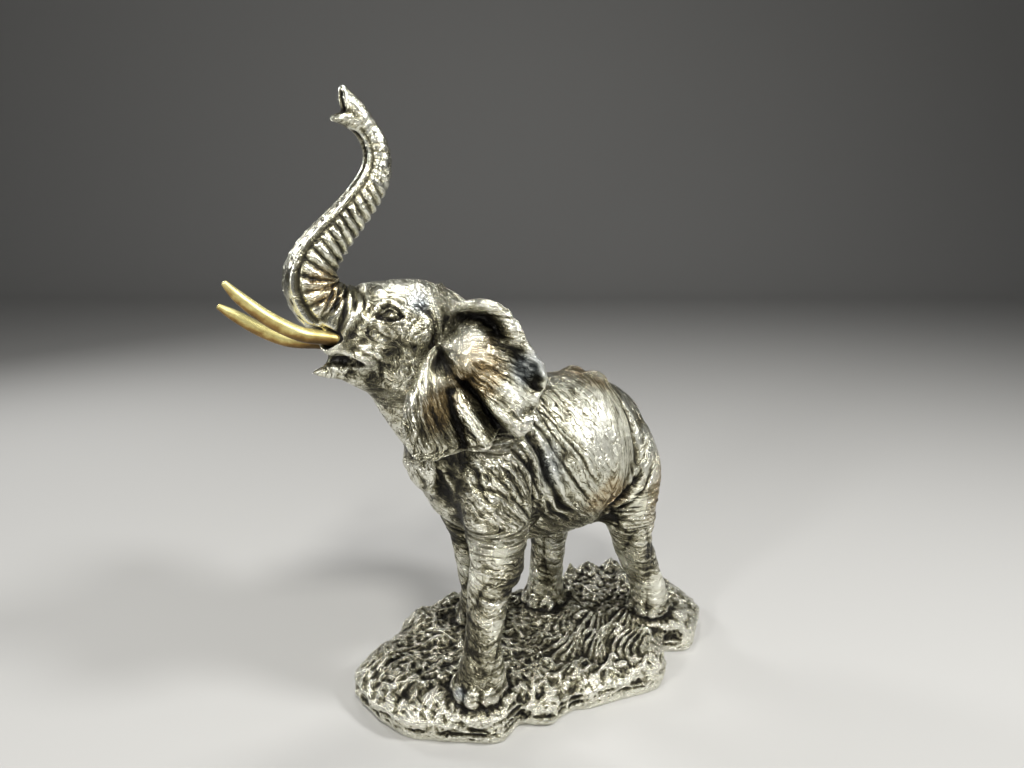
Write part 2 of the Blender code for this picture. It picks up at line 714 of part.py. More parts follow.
def carve_eyes(points, normals):
    """On each side of the head an eyeball in a hollow, a brow above it and the temple behind."""
    moved = points
    for side in (1, -1):
        x, y, z = EYE
        offset = points - np.array(on_head((x, side * y, z)))
        away = np.linalg.norm(offset, axis=1)
        shape = -0.34 * np.exp(-((away / 0.42) ** 2)) + 0.36 * np.exp(-((away / 0.20) ** 2))
        brow = np.exp(-(((away - 0.60) / 0.17) ** 2)) * step_up(offset[:, 2], -0.05, 0.45)
        temple = np.array(on_head((x - TEMPLE_BACK, side * (y + TEMPLE_OUT), z + TEMPLE_UP)))
        dip = np.exp(-((np.linalg.norm(points - temple, axis=1) / 0.62) ** 2))
        moved = moved + (shape + 0.14 * brow - 0.16 * dip)[:, None] * normals
    return moved


def carve_legs(points, normals):
    """Shallow uneven folds across the front and outer side of the lower legs."""
    moved = points
    for stations in (LEFT_FORELEG, RIGHT_FORELEG, LEFT_HIND_LEG, RIGHT_HIND_LEG):
        spine = spine_of(stations, (0, -1, 0))
        _, front, side, radius, _ = on_spine(spine, points)
        near = step_up(-np.hypot(front, side), -1.35 * radius, -1.15 * radius)
        height = points[:, 2]
        near *= step_up(height, 0.6, 1.2) * step_up(-height, -7.0, -5.0)
        patchy = step_up(noise(points / 1.1, 6), 0.3, 0.65)
        phase = height / 0.7 + 1.6 * (noise(points / 1.8, 5) - 0.5)
        groove = (0.5 + 0.5 * np.cos(2 * math.pi * phase)) ** 2
        moved = moved - (near * patchy * LEG_FOLD_DEPTH * groove)[:, None] * normals
    return moved


def carved(obj):
    """Carves the casting's skin: the ring folds, creases and eyes that show from a step away."""
    mesh = obj.data
    count = len(mesh.vertices)
    points = np.empty(count * 3)
    mesh.vertices.foreach_get("co", points)
    points = (points.reshape(-1, 3) - np.array([0, 0, SOLE_HEIGHT])) / PART
    normals = np.empty(count * 3)
    mesh.vertices.foreach_get("normal", normals)
    normals = normals.reshape(-1, 3)
    points = carve_trunk(points, normals)
    points = carve_eyes(points, normals)
    points = carve_legs(points, normals)
    for path in CREASES:
        points = carve_fold(points, normals, points[:, [0, 2]], path, CREASE_DEPTH)
    points = carve_fold(points, normals, from_head(points), MOUTH, MOUTH_DEPTH)
    mesh.vertices.foreach_set("co", placed(points).ravel())
    mesh.update()


def casting():
    pieces = [
        fused_body(),
        loft("tail", TAIL),
        loft("upper_finger", head_stations(UPPER_FINGER), across_head()),
        loft("lower_finger", head_stations(LOWER_FINGER), across_head()),
        ear("left_ear", 1),
        ear("right_ear", -1),
        ground(),
    ]
    for name, stations in (("left_fore", LEFT_FORELEG), ("right_fore", RIGHT_FORELEG)):
        pieces += toes(name, stations[-2], FORE_TOES)
    for name, stations in (("left_hind", LEFT_HIND_LEG), ("right_hind", RIGHT_HIND_LEG)):
        pieces += toes(name, stations[-2], HIND_TOES)
    whole = joined(CASTING_NAME, pieces)
    remesh(whole, VOXEL)
    whole = joined(CASTING_NAME, [whole])
    carved(whole)
    whole.data.shade_smooth()
    fewer = whole.modifiers.new("fewer_triangles", "DECIMATE")
    fewer.ratio = CASTING_TRIANGLES / (2 * len(whole.data.polygons))
    fewer.use_collapse_triangulate = True
    return whole


def tusk_stations(rows, extra):
    """A tusk's stations: a round root, a slight swell and a tapering tip; extra is in metres."""
    radius = TUSK_DIAMETER / 2 / PART
    shares = (0.9, 0.96, 1.0, 0.97, 0.8, 0.42)
    grown = extra / PART
    return [(*row, radius * s + grown, radius * s + grown) for row, s in zip(rows, shares)]


def tusk(name, rows, extra=0.0):
    """A tusk from its root, SOCKET_DEPTH behind the mouth of its socket, to its tip."""
    mouth, onward = np.array(rows[0]), np.array(rows[1])
    inward = (mouth - onward) / np.linalg.norm(mouth - onward)
    root = mouth + inward * (SOCKET_DEPTH + extra) / PART
    stations = tusk_stations([tuple(root), *rows], extra)
    return loft(name, head_stations(stations), across_head(), sides=12, steps=4, cap_rings=2)


def cut(obj, cutter):
    step = obj.modifiers.new("cut_" + cutter.name, "BOOLEAN")
    step.operation = "DIFFERENCE"
    step.object = cutter
    cutter.hide_render = True
    cutter.display_type = "WIRE"


def cutters():
    """What is taken off the casting: all below its underside, and the sockets of the tusks."""
    depth = 0.02
    bpy.ops.mesh.primitive_cube_add(size=1, location=(0, 0, -depth / 2))
    below = bpy.context.object
    below.name = "below_the_underside"
    below.scale = (GROUND_LENGTH * 1.5, GROUND_WIDTH * 1.5, depth)
    return [
        below,
        tusk("left_socket", LEFT_TUSK, SOCKET_CLEARANCE),
        tusk("right_socket", RIGHT_TUSK, SOCKET_CLEARANCE),
    ]


def finish_of(name, values):
    colour, roughness, metallic = values
    material = bpy.data.materials.new(name)
    material.use_nodes = True
    shader = material.node_tree.nodes["Principled BSDF"]
    shader.inputs["Base Color"].default_value = colour
    shader.inputs["Roughness"].default_value = roughness
    shader.inputs["Metallic"].default_value = metallic
    return material


def moved_to(collection, obj):
    for old in list(obj.users_collection):
        old.objects.unlink(obj)
    collection.objects.link(obj)


def main():
    for obj in list(bpy.data.objects):
        bpy.data.objects.remove(obj)
    statue = bpy.data.collections.new("elephant statue")
    helpers = bpy.data.collections.new("cutters")
    for collection in (statue, helpers):
        bpy.context.scene.collection.children.link(collection)
    whole = casting()
    for cutter in cutters():
        cut(whole, cutter)
        moved_to(helpers, cutter)
    silver = finish_of("antique silver", SILVER)
    gilt = finish_of("gilt", GILT)
    tusks = [tusk("left_tusk", LEFT_TUSK), tusk("right_tusk", RIGHT_TUSK)]
    for obj, material in ((whole, silver), (tusks[0], gilt), (tusks[1], gilt)):
        obj.data.materials.clear()
        obj.data.materials.append(material)
        moved_to(statue, obj)
    for obj in tusks:
        obj.data.shade_smooth()


if __name__ == "__main__":
    main()
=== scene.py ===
"""Looks of the cast elephant statuette: its fine skin, and its silver and gilt finishes.

The fine skin repeats the form of the solid casting from the same stations, and adds what only a mesh
can carry: the rings of the trunk, the folds of the hide, the eyes, the nails and the rough ground.
Points of the figure are in parts, PARTS_HIGH of which make its height from the soles up. The elephant
faces -X and its left side is towards -Y. Points of the head are: forward of the neck, to the left, up.
"""

import itertools
import math

import bmesh
import bpy
import numpy as np
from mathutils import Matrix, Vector
from mathutils.bvhtree import BVHTree


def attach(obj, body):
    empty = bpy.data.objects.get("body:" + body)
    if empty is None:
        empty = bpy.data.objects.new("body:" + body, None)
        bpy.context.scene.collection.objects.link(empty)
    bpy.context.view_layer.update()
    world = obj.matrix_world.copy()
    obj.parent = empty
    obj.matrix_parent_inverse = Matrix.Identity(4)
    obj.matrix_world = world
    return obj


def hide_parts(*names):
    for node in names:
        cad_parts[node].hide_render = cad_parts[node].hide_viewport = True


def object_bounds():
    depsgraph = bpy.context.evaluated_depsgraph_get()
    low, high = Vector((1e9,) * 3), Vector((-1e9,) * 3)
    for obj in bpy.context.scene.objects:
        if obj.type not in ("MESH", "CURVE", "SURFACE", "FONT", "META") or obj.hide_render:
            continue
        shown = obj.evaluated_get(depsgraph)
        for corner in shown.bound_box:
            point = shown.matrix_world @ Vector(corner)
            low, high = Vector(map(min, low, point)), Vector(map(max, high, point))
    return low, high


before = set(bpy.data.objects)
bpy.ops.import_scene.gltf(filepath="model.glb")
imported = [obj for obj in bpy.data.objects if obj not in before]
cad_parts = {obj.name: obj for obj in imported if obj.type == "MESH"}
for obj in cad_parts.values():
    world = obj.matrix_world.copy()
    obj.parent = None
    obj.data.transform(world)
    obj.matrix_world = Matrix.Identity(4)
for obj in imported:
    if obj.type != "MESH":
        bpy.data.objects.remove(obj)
cad_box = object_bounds()

# Driving dimensions of the casting, in metres
FIGURE_HEIGHT = 0.244
GROUND_LENGTH = 0.184
GROUND_WIDTH = 0.112
SOLE_HEIGHT = 0.016
GROUND_EDGE = 0.009
EAR_THICKNESS = 0.0026
TUSK_DIAMETER = 0.0056
SOCKET_DEPTH = 0.007

# The cells that the skin is made from, the radius of its inner corners, and its most triangles
BODY_VOXEL = 0.0012
SKIN_VOXEL = 0.00066
BLEND_RADIUS = 0.0030
SKIN_TRIANGLES = 196000

# Rays that feel how far the skin is shut in, which the silver finish paints in as shade
RAYS = 20
RAY_START = 0.0001
RAY_REACH = 0.011
GOLDEN_TURN = math.radians(137.5)
# Rounds of smoothing that show the hollows of each depth, in metres
HOLLOW_SCALES = ((3, 0.00010), (14, 0.00045), (60, 0.0014))
# The skin's underside is flat up to this height
FLAT_BELOW = 0.0006

PARTS_HIGH = 24.4
PART = FIGURE_HEIGHT / PARTS_HIGH
HEAD_YAW = math.radians(9)
NECK_PIVOT = Vector((-5.0, 0.0, 0.0))

# Stations of each loft, in parts: x, y, z, half depth along the body, half width across it
TORSO = [
    (-6.1, 0.0, 9.9, 1.5, 1.5),
    (-5.2, 0.0, 9.8, 2.8, 2.5),
    (-3.6, 0.0, 9.6, 3.6, 3.1),
    (-1.6, 0.0, 9.1, 3.85, 3.3),
    (0.4, 0.0, 8.9, 3.85, 3.55),
    (2.3, 0.0, 8.95, 3.7, 3.35),
    (3.5, 0.0, 8.9, 3.0, 2.85),
    (4.4, 0.0, 8.6, 2.15, 2.15),
    (5.0, 0.0, 8.4, 1.2, 1.3),
]
NECK = [
    (-2.4, 0.0, 10.2, 2.6, 2.6),
    (-4.2, 0.0, 11.6, 2.9, 2.5),
    (-5.8, 0.1, 13.2, 2.6, 2.1),
    (-7.0, 0.3, 14.6, 2.1, 1.8),
]
LEGS = {
    "left_fore": [
        (-3.7, -1.9, 10.2, 1.9, 1.5),
        (-4.1, -2.2, 8.6, 1.7, 1.45),
        (-4.35, -2.6, 7.0, 1.35, 1.3),
        (-4.45, -2.7, 5.9, 1.22, 1.15),
        (-4.8, -2.7, 4.7, 1.0, 1.0),
        (-5.0, -2.7, 3.5, 0.84, 0.86),
        (-5.1, -2.7, 2.3, 0.84, 0.86),
        (-5.2, -2.7, 1.1, 0.98, 1.0),
        (-5.3, -2.7, 0.2, 1.15, 1.15),
        (-5.3, -2.7, -0.6, 1.15, 1.15),
    ],
    "right_fore": [
        (-3.7, 1.9, 10.2, 1.9, 1.5),
        (-3.5, 2.1, 8.4, 1.6, 1.4),
        (-3.3, 2.3, 7.0, 1.32, 1.25),
        (-2.95, 2.3, 5.8, 1.2, 1.12),
        (-2.75, 2.3, 4.7, 1.0, 1.0),
        (-2.6, 2.3, 3.6, 0.86, 0.86),
        (-2.45, 2.3, 2.4, 0.84, 0.86),
        (-2.2, 2.3, 1.2, 0.98, 1.0),
        (-2.15, 2.3, 0.2, 1.15, 1.15),
        (-2.15, 2.3, -0.6, 1.15, 1.15),
    ],
    "left_hind": [
        (3.1, -1.5, 9.3, 2.0, 1.5),
        (3.5, -1.8, 7.8, 2.05, 1.6),
        (3.6, -2.0, 6.2, 1.55, 1.4),
        (4.0, -2.0, 4.6, 1.05, 1.08),
        (4.65, -1.9, 2.9, 0.86, 0.92),
        (5.3, -1.9, 1.5, 0.9, 0.95),
        (5.65, -1.9, 0.2, 1.1, 1.1),
        (5.65, -1.9, -0.6, 1.1, 1.1),
    ],
    "right_hind": [
        (3.3, 1.5, 9.4, 2.1, 1.5),
        (3.1, 1.8, 7.8, 2.1, 1.6),
        (2.5, 2.0, 6.0, 1.5, 1.35),
        (2.05, 2.0, 4.4, 1.08, 1.08),
        (1.85, 1.9, 2.8, 0.9, 0.92),
        (1.7, 1.9, 1.3, 0.94, 0.96),
        (1.65, 1.9, 0.2, 1.1, 1.1),
        (1.65, 1.9, -0.6, 1.1, 1.1),
    ],
}
TAIL = [
    (4.9, 0.1, 10.2, 0.42, 0.42),
    (5.55, 0.25, 9.6, 0.36, 0.34),
    (5.9, 0.45, 8.4, 0.28, 0.26),
    (5.8, 0.6, 7.0, 0.22, 0.22),
    (5.6, 0.8, 5.6, 0.3, 0.26),
    (5.5, 0.9, 4.5, 0.12, 0.12),
]

# The same on the head
FACE = [
    (0.2, 0.0, 15.0, 1.9, 1.7),
    (1.6, 0.0, 15.4, 2.05, 1.85),
    (3.0, 0.0, 15.7, 1.75, 1.6),
    (4.3, 0.0, 15.95, 1.35, 1.25),
    (5.0, 0.0, 16.3, 1.15, 1.1),
]
JAW = [
    (1.4, 0.0, 13.9, 1.7, 1.5),
    (2.6, 0.0, 13.75, 1.3, 1.25),
    (3.7, 0.0, 13.8, 0.72, 0.85),
    (4.6, 0.0, 13.95, 0.34, 0.5),
    (5.3, 0.0, 13.95, 0.2, 0.3),
    (5.7, 0.0, 14.0, 0.1, 0.14),
]
TRUNK = [
    (4.2, 0.0, 15.95, 1.2, 1.2),
    (5.05, 0.0, 16.45, 1.14, 1.15),
    (5.5, 0.0, 17.15, 1.08, 1.08),
    (5.55, 0.0, 17.8, 1.0, 1.0),
    (5.15, 0.0, 18.6, 0.88, 0.9),
    (4.3, 0.0, 19.55, 0.75, 0.78),
    (3.57, 0.0, 20.35, 0.68, 0.7),
    (2.95, 0.0, 21.2, 0.62, 0.65),
    (2.74, 0.0, 21.95, 0.54, 0.58),
    (2.85, 0.0, 22.6, 0.5, 0.54),
    (3.14, 0.0, 23.1, 0.46, 0.5),
    (3.5, 0.0, 23.45, 0.42, 0.46),
]
UPPER_FINGER = [
    (3.3, 0.0, 23.3, 0.48, 0.50),
    (3.58, 0.0, 23.72, 0.45, 0.46),
    (3.8, 0.0, 24.05, 0.36, 0.40),
    (3.9, 0.0, 24.28, 0.26, 0.30),
    (3.94, 0.0, 24.48, 0.15, 0.17),
]
LOWER_FINGER = [
    (3.4, 0.0, 23.25, 0.42, 0.48),
    (3.8, 0.0, 23.40, 0.31, 0.44),
    (4.12, 0.0, 23.42, 0.21, 0.38),
    (4.33, 0.0, 23.38, 0.14, 0.27),
    (4.42, 0.0, 23.35, 0.09, 0.14),
]
# Cheeks and lips, the left ones: the place, then the three radii
CHEEKS = (3.4, 0.75, 14.9, 1.25, 0.85, 0.95)
LIP = (4.85, 0.8, 15.25, 0.62, 0.52, 0.55)
EYE = (2.84, 1.5, 16.25)
TRUNK_END = (4.0, 0.0, 23.9)
# The skin has finer faces within this reach of the eyes and of the trunk's end
FINE_REACH = 0.85
# Hip bones under the skin of the back, in the same way but on the body: x, to the side, up
HIPS = (2.35, 0.75, 12.05, 0.8, 0.7, 0.75)
LEFT_TUSK = [
    (5.25, 0.9, 15.44),
    (6.2, 1.0, 15.67),
    (7.3, 1.2, 16.32),
    (8.2, 1.3, 17.1),
    (8.68, 1.3, 17.65),
]
RIGHT_TUSK = [
    (5.25, -0.9, 15.0),
    (6.3, -1.0, 15.15),
    (7.3, -1.1, 15.6),
    (8.2, -1.1, 16.2),
    (8.75, -1.1, 16.58),
]

# How each ear lies, the left and the right: turned in to the neck, and set back, in parts
EAR_TURN = {1: 0.0, -1: math.radians(11)}
EAR_BACK = {1: 0.0, -1: 1.2}
# The ear's margin from the top of its root, round the back, to the bottom of its root, on the
# head: forward, out to the side, up, then how far the ear stands out at its margin
EAR_ROOT = (1.15, 2.0, 15.0)
EAR_MARGIN = [
    (0.50, 2.0, 16.55, 0.0),
    (-0.20, 2.9, 16.8, 0.30),
    (-0.85, 3.3, 16.65, 0.45),
    (-1.40, 3.7, 16.0, 0.40),
    (-1.85, 4.0, 15.0, 0.25),
    (-2.40, 4.2, 14.0, 0.15),
    (-2.40, 4.1, 13.4, 0.05),
    (-2.05, 4.1, 12.9, 0.0),
    (-1.80, 4.0, 12.0, 0.30),
    (-1.42, 3.9, 11.72, 0.40),
    (-1.05, 3.75, 11.68, -0.20),
    (-0.60, 3.6, 11.6, -0.25),
    (-0.15, 3.6, 11.2, 0.20),
    (0.30, 3.55, 11.12, 0.15),
    (0.70, 3.5, 11.1, -0.20),
    (1.20, 3.5, 11.05, -0.15),
    (2.10, 3.5, 10.95, -0.20),
    (2.75, 3.5, 11.15, -0.25),
    (3.15, 3.5, 11.9, -0.30),
    (3.15, 3.4, 12.6, -0.25),
    (2.75, 3.1, 13.45, -0.15),
    (2.00, 2.6, 14.4, -0.05),
    (1.40, 2.15, 14.85, 0.0),
]
# Its ridges and hollows on the side view of the head: how far each stands out, its widths ahead
# of its path and behind it, then forward and up along the path
EAR_FOLDS = [
    (0.50, 0.40, 0.40, [(1.05, 15.12), (0.70, 14.93), (0.36, 14.47)]),
    (-0.70, 0.36, 0.36, [(1.0, 15.5), (0.55, 15.95), (-0.08, 16.15), (-0.54, 15.9), (-0.73, 15.55)]),
    (0.50, 0.62, 0.62, [(-0.03, 14.87), (-0.58, 13.8), (-1.12, 12.8), (-1.39, 12.2)]),
    (-0.42, 0.34, 0.34, [(-1.39, 14.93), (-1.69, 14.34), (-1.95, 13.63)]),
    (-0.35, 0.15, 0.15, [(-1.98, 14.35), (-2.12, 13.9), (-2.05, 13.4)]),
    (-0.32, 0.17, 0.17, [(-2.1, 12.78), (-1.7, 12.52)]),
    (-1.00, 0.46, 0.19, [(0.30, 13.65), (-0.18, 12.93), (-0.5, 12.28), (-0.89, 11.67)]),
    (0.42, 0.34, 0.34, [(0.65, 13.7), (0.45, 12.88), (0.05, 11.87), (-0.25, 11.34)]),
    (-0.40, 0.22, 0.22, [(0.98, 13.3), (0.93, 12.32), (0.80, 11.4)]),
    (0.50, 0.75, 0.75, [(1.68, 13.7), (2.20, 13.0), (2.40, 12.15), (2.30, 11.65)]),
]

# Where the toenails are round the front of a foot, in degrees
TOES = {"fore": (-80, -40, 0, 40, 80), "hind": (-60, -20, 20, 60)}

# Folds of the hide as they are seen from the side: width and depth in parts, then x and height
HIDE_FOLDS = [
    (0.15, 0.20, [(-4.2, 11.05), (-3.6, 10.35), (-3.1, 9.6), (-2.9, 8.7), (-2.9, 8.0), (-3.0, 7.3)]),
    (0.10, 0.12, [(-3.8, 11.2), (-3.1, 10.0), (-2.65, 8.7), (-2.45, 7.6)]),
    (0.16, 0.20, [(-3.4, 11.6), (-2.6, 10.3), (-2.0, 8.8), (-1.3, 7.6), (-0.2, 6.9)]),
    (0.09, 0.09, [(-3.0, 12.2), (-2.0, 10.6), (-1.0, 9.0), (0.1, 7.6)]),
    (0.08, 0.07, [(-2.7, 12.6), (-1.4, 11.1), (-0.3, 9.5), (0.8, 7.9)]),
    (0.10, 0.12, [(-2.3, 8.1), (-1.5, 7.2), (-0.5, 6.6)]),
    (0.17, 0.22, [(1.3, 6.2), (1.8, 6.9), (2.5, 7.5), (3.1, 8.1), (3.5, 8.7)]),
    (0.10, 0.10, [(1.9, 6.0), (2.5, 6.7), (3.1, 7.2), (3.7, 7.9), (4.1, 8.8)]),
    (0.22, 0.13, [(2.6, 11.8), (2.95, 10.5), (3.0, 9.5), (2.8, 8.6)]),
    (0.12, 0.10, [(1.8, 6.9), (2.3, 6.0), (2.7, 4.9)]),
    (0.13, 0.08, [(-6.0, 9.2), (-5.4, 9.3), (-4.9, 9.1), (-4.3, 8.7), (-3.9, 8.2)]),
    (0.14, 0.15, [(-7.4, 10.8), (-7.1, 9.7), (-6.7, 8.75), (-6.5, 8.0)]),
    (0.12, 0.13, [(-6.5, 10.4), (-6.3, 9.4), (-5.95, 8.6), (-5.8, 7.8)]),
    (0.12, 0.10, [(-5.7, 10.3), (-5.35, 9.2), (-5.1, 8.5)]),
    (0.11, 0.10, [(-4.6, 10.2), (-4.2, 9.5), (-3.9, 8.7), (-3.7, 7.8)]),
]
# The same on the head: forward and up
FACE_FOLDS = [
    (0.19, 0.42, [(5.1, 14.5), (4.6, 14.47), (4.3, 14.4), (4.12, 14.3), (4.02, 14.15)]),
    (0.09, 0.05, [(4.4, 15.4), (4.05, 15.0), (3.6, 14.6), (3.3, 14.1), (3.2, 13.6)]),
    (0.16, 0.07, [(1.5, 16.6), (1.3, 15.9), (1.35, 15.2), (1.6, 14.6)]),
    (0.06, 0.05, [(2.5, 15.55), (2.2, 15.75), (1.95, 15.95), (1.7, 16.15)]),
    (0.06, 0.04, [(2.35, 15.30), (2.05, 15.50), (1.75, 15.65), (1.45, 15.75)]),
    (0.06, 0.04, [(3.50, 16.0), (3.42, 15.75), (3.2, 15.5), (2.9, 15.35)]),
    (0.06, 0.04, [(3.8, 16.1), (3.75, 15.75), (3.6, 15.45), (3.3, 15.15)]),
    (0.07, 0.10, [(4.85, 17.4), (5.0, 16.9), (5.37, 16.3)]),
    (0.08, 0.12, [(4.55, 17.4), (4.72, 16.8), (5.0, 16.2)]),
    (0.08, 0.12, [(4.25, 17.4), (4.4, 16.8), (4.65, 16.1)]),
    (0.07, 0.10, [(3.95, 17.3), (4.1, 16.75), (4.3, 16.1)]),
    (0.06, 0.07, [(3.65, 17.2), (3.8, 16.7), (3.95, 16.2)]),
]

# The trunk: how far the rims of its hollow side reach, the pitch of its rings at the root and at the
# tip, and their depth
RIM_REACH = 1.08
RING_PITCHES = (0.50, 0.27)
RING_DEPTH = 0.15

# A toenail's three radii, and how far the eyes and the temples are carved
NAIL = (0.17, 0.35, 0.47)
SOCKET_OF_EYE = 0.19
EYEBALL_RISE = 0.16
TEMPLE_REACH = 0.60
TEMPLE_DEPTH = 0.15
# How many points are measured against a spine at once
AT_ONCE = 20000

# Grass: from one row to the next and one blade to the next, and the way that the rows run
TUFT_ROW = 2.5
BLADE_PITCH = 0.32
TUFT_TURN = math.radians(-35)
# Rocks: place as shares of the ground's half length and half width, reach and height in metres
ROCKS = [
    (-0.28, 0.84, 0.0050, 0.0062),
    (-0.17, 0.82, 0.0045, 0.0055),
    (-0.52, 0.72, 0.0060, 0.0045),
    (-0.80, 0.42, 0.0070, 0.0030),
    (0.47, 0.55, 0.0050, 0.0056),
    (0.62, 0.56, 0.0048, 0.0066),
    (0.78, 0.46, 0.0055, 0.0062),
    (0.90, 0.05, 0.0060, 0.0042),
    (0.86, -0.30, 0.0065, 0.0026),
    (0.70, -0.55, 0.0060, 0.0018),
]

# How deep the soles are in the ground, in metres, and where on the way out its top begins to fall
SOLES_SUNK = 0.0006
FALL_START = 0.84

# Outline of the ground as shares of its half length and half width, anticlockwise from the front
GROUND_OUTLINE = [
    (-1.0, 0.20), (-0.99, 0.0), (-0.965, -0.15), (-0.92, -0.34), (-0.81, -0.52), (-0.67, -0.71),
    (-0.59, -0.785), (-0.52, -0.745), (-0.445, -0.71), (-0.37, -0.80), (-0.32, -0.845), (-0.255, -0.82),
    (-0.165, -0.815), (-0.09, -0.87), (0.105, -0.94), (0.26, -1.0), (0.33, -0.98), (0.42, -0.84),
    (0.48, -0.72), (0.54, -0.63), (0.60, -0.67), (0.69, -0.74), (0.79, -0.66), (0.94, -0.45),
    (1.0, -0.18), (0.98, 0.12), (0.92, 0.40), (0.80, 0.62), (0.64, 0.69), (0.44, 0.62),
    (0.22, 0.68), (0.02, 0.78), (-0.20, 0.90), (-0.38, 0.90), (-0.52, 0.93), (-0.60, 0.80),
    (-0.70, 0.68), (-0.80, 0.58), (-0.90, 0.52), (-0.98, 0.38),
]


# Curves and noise

def smooth_curve(rows, steps, closed=False):
    """Points on a Catmull-Rom curve through the rows, steps of them to a span."""
    rows = np.asarray(rows, float)
    count = len(rows)
    spans = count if closed else count - 1
    made = []
    for i in range(spans):
        if closed:
            a, b, c, d = (rows[(i + k) % count] for k in (-1, 0, 1, 2))
        else:
            a, b, c, d = (rows[min(max(i + k, 0), count - 1)] for k in (-1, 0, 1, 2))
        for t in np.arange(steps) / steps:
            made.append(
                0.5 * (2 * b + (c - a) * t + (2 * a - 5 * b + 4 * c - d) * t**2
                       + (3 * b - a - 3 * c + d) * t**3)
            )
    if not closed:
        made.append(rows[-1])
    return np.array(made)


def step_up(x, low, high):
    """0 below low, 1 above high and smooth between."""
    t = np.clip((x - low) / (high - low), 0, 1)
    return t * t * (3 - 2 * t)


def step_down(x, low, high):
    """1 below low, 0 above high and smooth between."""
    return step_up(-x, -high, -low)


def hill(x, top, reach):
    """1 at the top, and smoothly down to nearly 0 at twice the reach from it."""
    return np.exp(-(((x - top) / reach) ** 2))


def blend(first, second, share):
    """The first where the share is 0 and the second where it is 1."""
    return first * (1 - share) + share * second


def columns(*values):
    """Numbers and arrays side by side, as one row for each point."""
    return np.stack(np.broadcast_arrays(*values), axis=-1)


def beside(seen, path):
    """For places on a side view: how far each is from a path, its share of the way along it, and
    whether it lies behind it."""
    line = smooth_curve(path, 6)
    start, run = line[:-1], np.diff(line, axis=0)
    offset = seen[:, None, :] - start[None]
    share = np.clip((offset * run[None]).sum(axis=2) / (run**2).sum(axis=1), 0, 1)
    off = offset - share[:, :, None] * run[None]
    apart = np.linalg.norm(off, axis=2)
    nearest = apart.argmin(axis=1)
    pick = np.arange(len(seen))
    off, ahead = off[pick, nearest], run[nearest]
    is_behind = ahead[:, 0] * off[:, 1] < ahead[:, 1] * off[:, 0]
    return apart[pick, nearest], (nearest + share[pick, nearest]) / len(run), is_behind


def scattered(points, seed):
    """A number from 0 to 1 for each whole-number point of a lattice."""
    x, y, z = (points[:, k].astype(np.int64) for k in range(3))
    mixed = x * 374761393 + y * 668265263 + z * 1440662683 + seed * 974634777
    mixed = (mixed ^ (mixed >> 13)) * 1274126177
    return ((mixed ^ (mixed >> 16)) & 0xFFFF) / 65535.0


def noise(points, seed=0):
    """Smooth noise from 0 to 1 over points, one swing to a unit of length."""
    cell = np.floor(points)
    part = points - cell
    part = part * part * (3 - 2 * part)
    total = np.zeros(len(points))
    for corner in itertools.product((0, 1), repeat=3):
        share = np.prod(np.where(corner, part, 1 - part), axis=1)
        total += share * scattered(cell + corner, seed)
    return total


def creased(points, seed=0):
    """Noise from 0 to 1 with sharp valleys at 0 between rounded swells."""
    return np.abs(2 * noise(points, seed) - 1) ** 0.7


def knobs(x, y, pitch, seed):
    """Rounded pebbles of uneven size, from 0 between them to about 1 on top, over a plane."""
    u, v = x / pitch, y / pitch
    best = np.zeros(len(u))
    for shift in itertools.product((-1, 0, 1), repeat=2):
        cell = columns(np.floor(u) + shift[0], np.floor(v) + shift[1], 0.0)
        mid_u = cell[:, 0] + 0.2 + 0.6 * scattered(cell, seed)
        mid_v = cell[:, 1] + 0.2 + 0.6 * scattered(cell, seed + 1)
        size = 0.35 + 0.4 * scattered(cell, seed + 2)
        away = ((u - mid_u) ** 2 + (v - mid_v) ** 2) / size**2
        best = np.maximum(best, size * np.sqrt(np.clip(1 - away, 0, 1)) / 0.75)
    return best


# The head's axes

AHEAD = np.array([-math.cos(HEAD_YAW), math.sin(HEAD_YAW), 0.0])
HEAD_LEFT = np.array([-math.sin(HEAD_YAW), -math.cos(HEAD_YAW), 0.0])


def on_head(point):
    """A point on the head (forward of the neck pivot, left, up) in the figure's parts."""
    forward, left, up = point
    return tuple(np.array(NECK_PIVOT) + AHEAD * forward + HEAD_LEFT * left + np.array([0, 0, up]))


def head_stations(stations):
    return [(*on_head(s[:3]), *s[3:]) for s in stations]


def from_head(points):
    """Points in the figure's parts as forward, left and up on the head."""
    offset = points - np.array(NECK_PIVOT)
    return columns(offset @ AHEAD, offset @ HEAD_LEFT, points[:, 2])


def placed(points):
    """Points in parts, as metres above the underside."""
    return np.asarray(points, float) * PART + np.array([0, 0, SOLE_HEIGHT])


def in_parts(points):
    """Points in metres above the underside, as the figure's parts."""
    return (points - np.array([0, 0, SOLE_HEIGHT])) / PART


# Meshes

def skin_of(mesh):
    """The places and the normals of a mesh's vertices."""
    points, normals = np.empty(len(mesh.vertices) * 3), np.empty(len(mesh.vertices) * 3)
    mesh.vertices.foreach_get("co", points)
    mesh.vertices.foreach_get("normal", normals)
    return points.reshape(-1, 3), normals.reshape(-1, 3)


def move_skin(mesh, points):
    """Moves a mesh's vertices to new places, kept inside the box of the solids."""
    points = np.clip(points, *cad_box)
    mesh.vertices.foreach_set("co", points.ravel())
    mesh.update()
    return points


def averager(mesh):
    """A function from a value at each vertex to its mean over the vertices next to it."""
    ends = np.empty(len(mesh.edges) * 2, int)
    mesh.edges.foreach_get("vertices", ends)
    a, b = ends.reshape(-1, 2).T
    count = len(mesh.vertices)
    degree = np.bincount(ends, minlength=count)
    return lambda value: (np.bincount(a, value[b], count) + np.bincount(b, value[a], count)) / degree


def new_object(name, vertices, faces):
    mesh = bpy.data.meshes.new(name)
    mesh.from_pydata([tuple(v) for v in vertices], [], faces)
    obj = bpy.data.objects.new(name, mesh)
    bpy.context.scene.collection.objects.link(obj)
    return obj


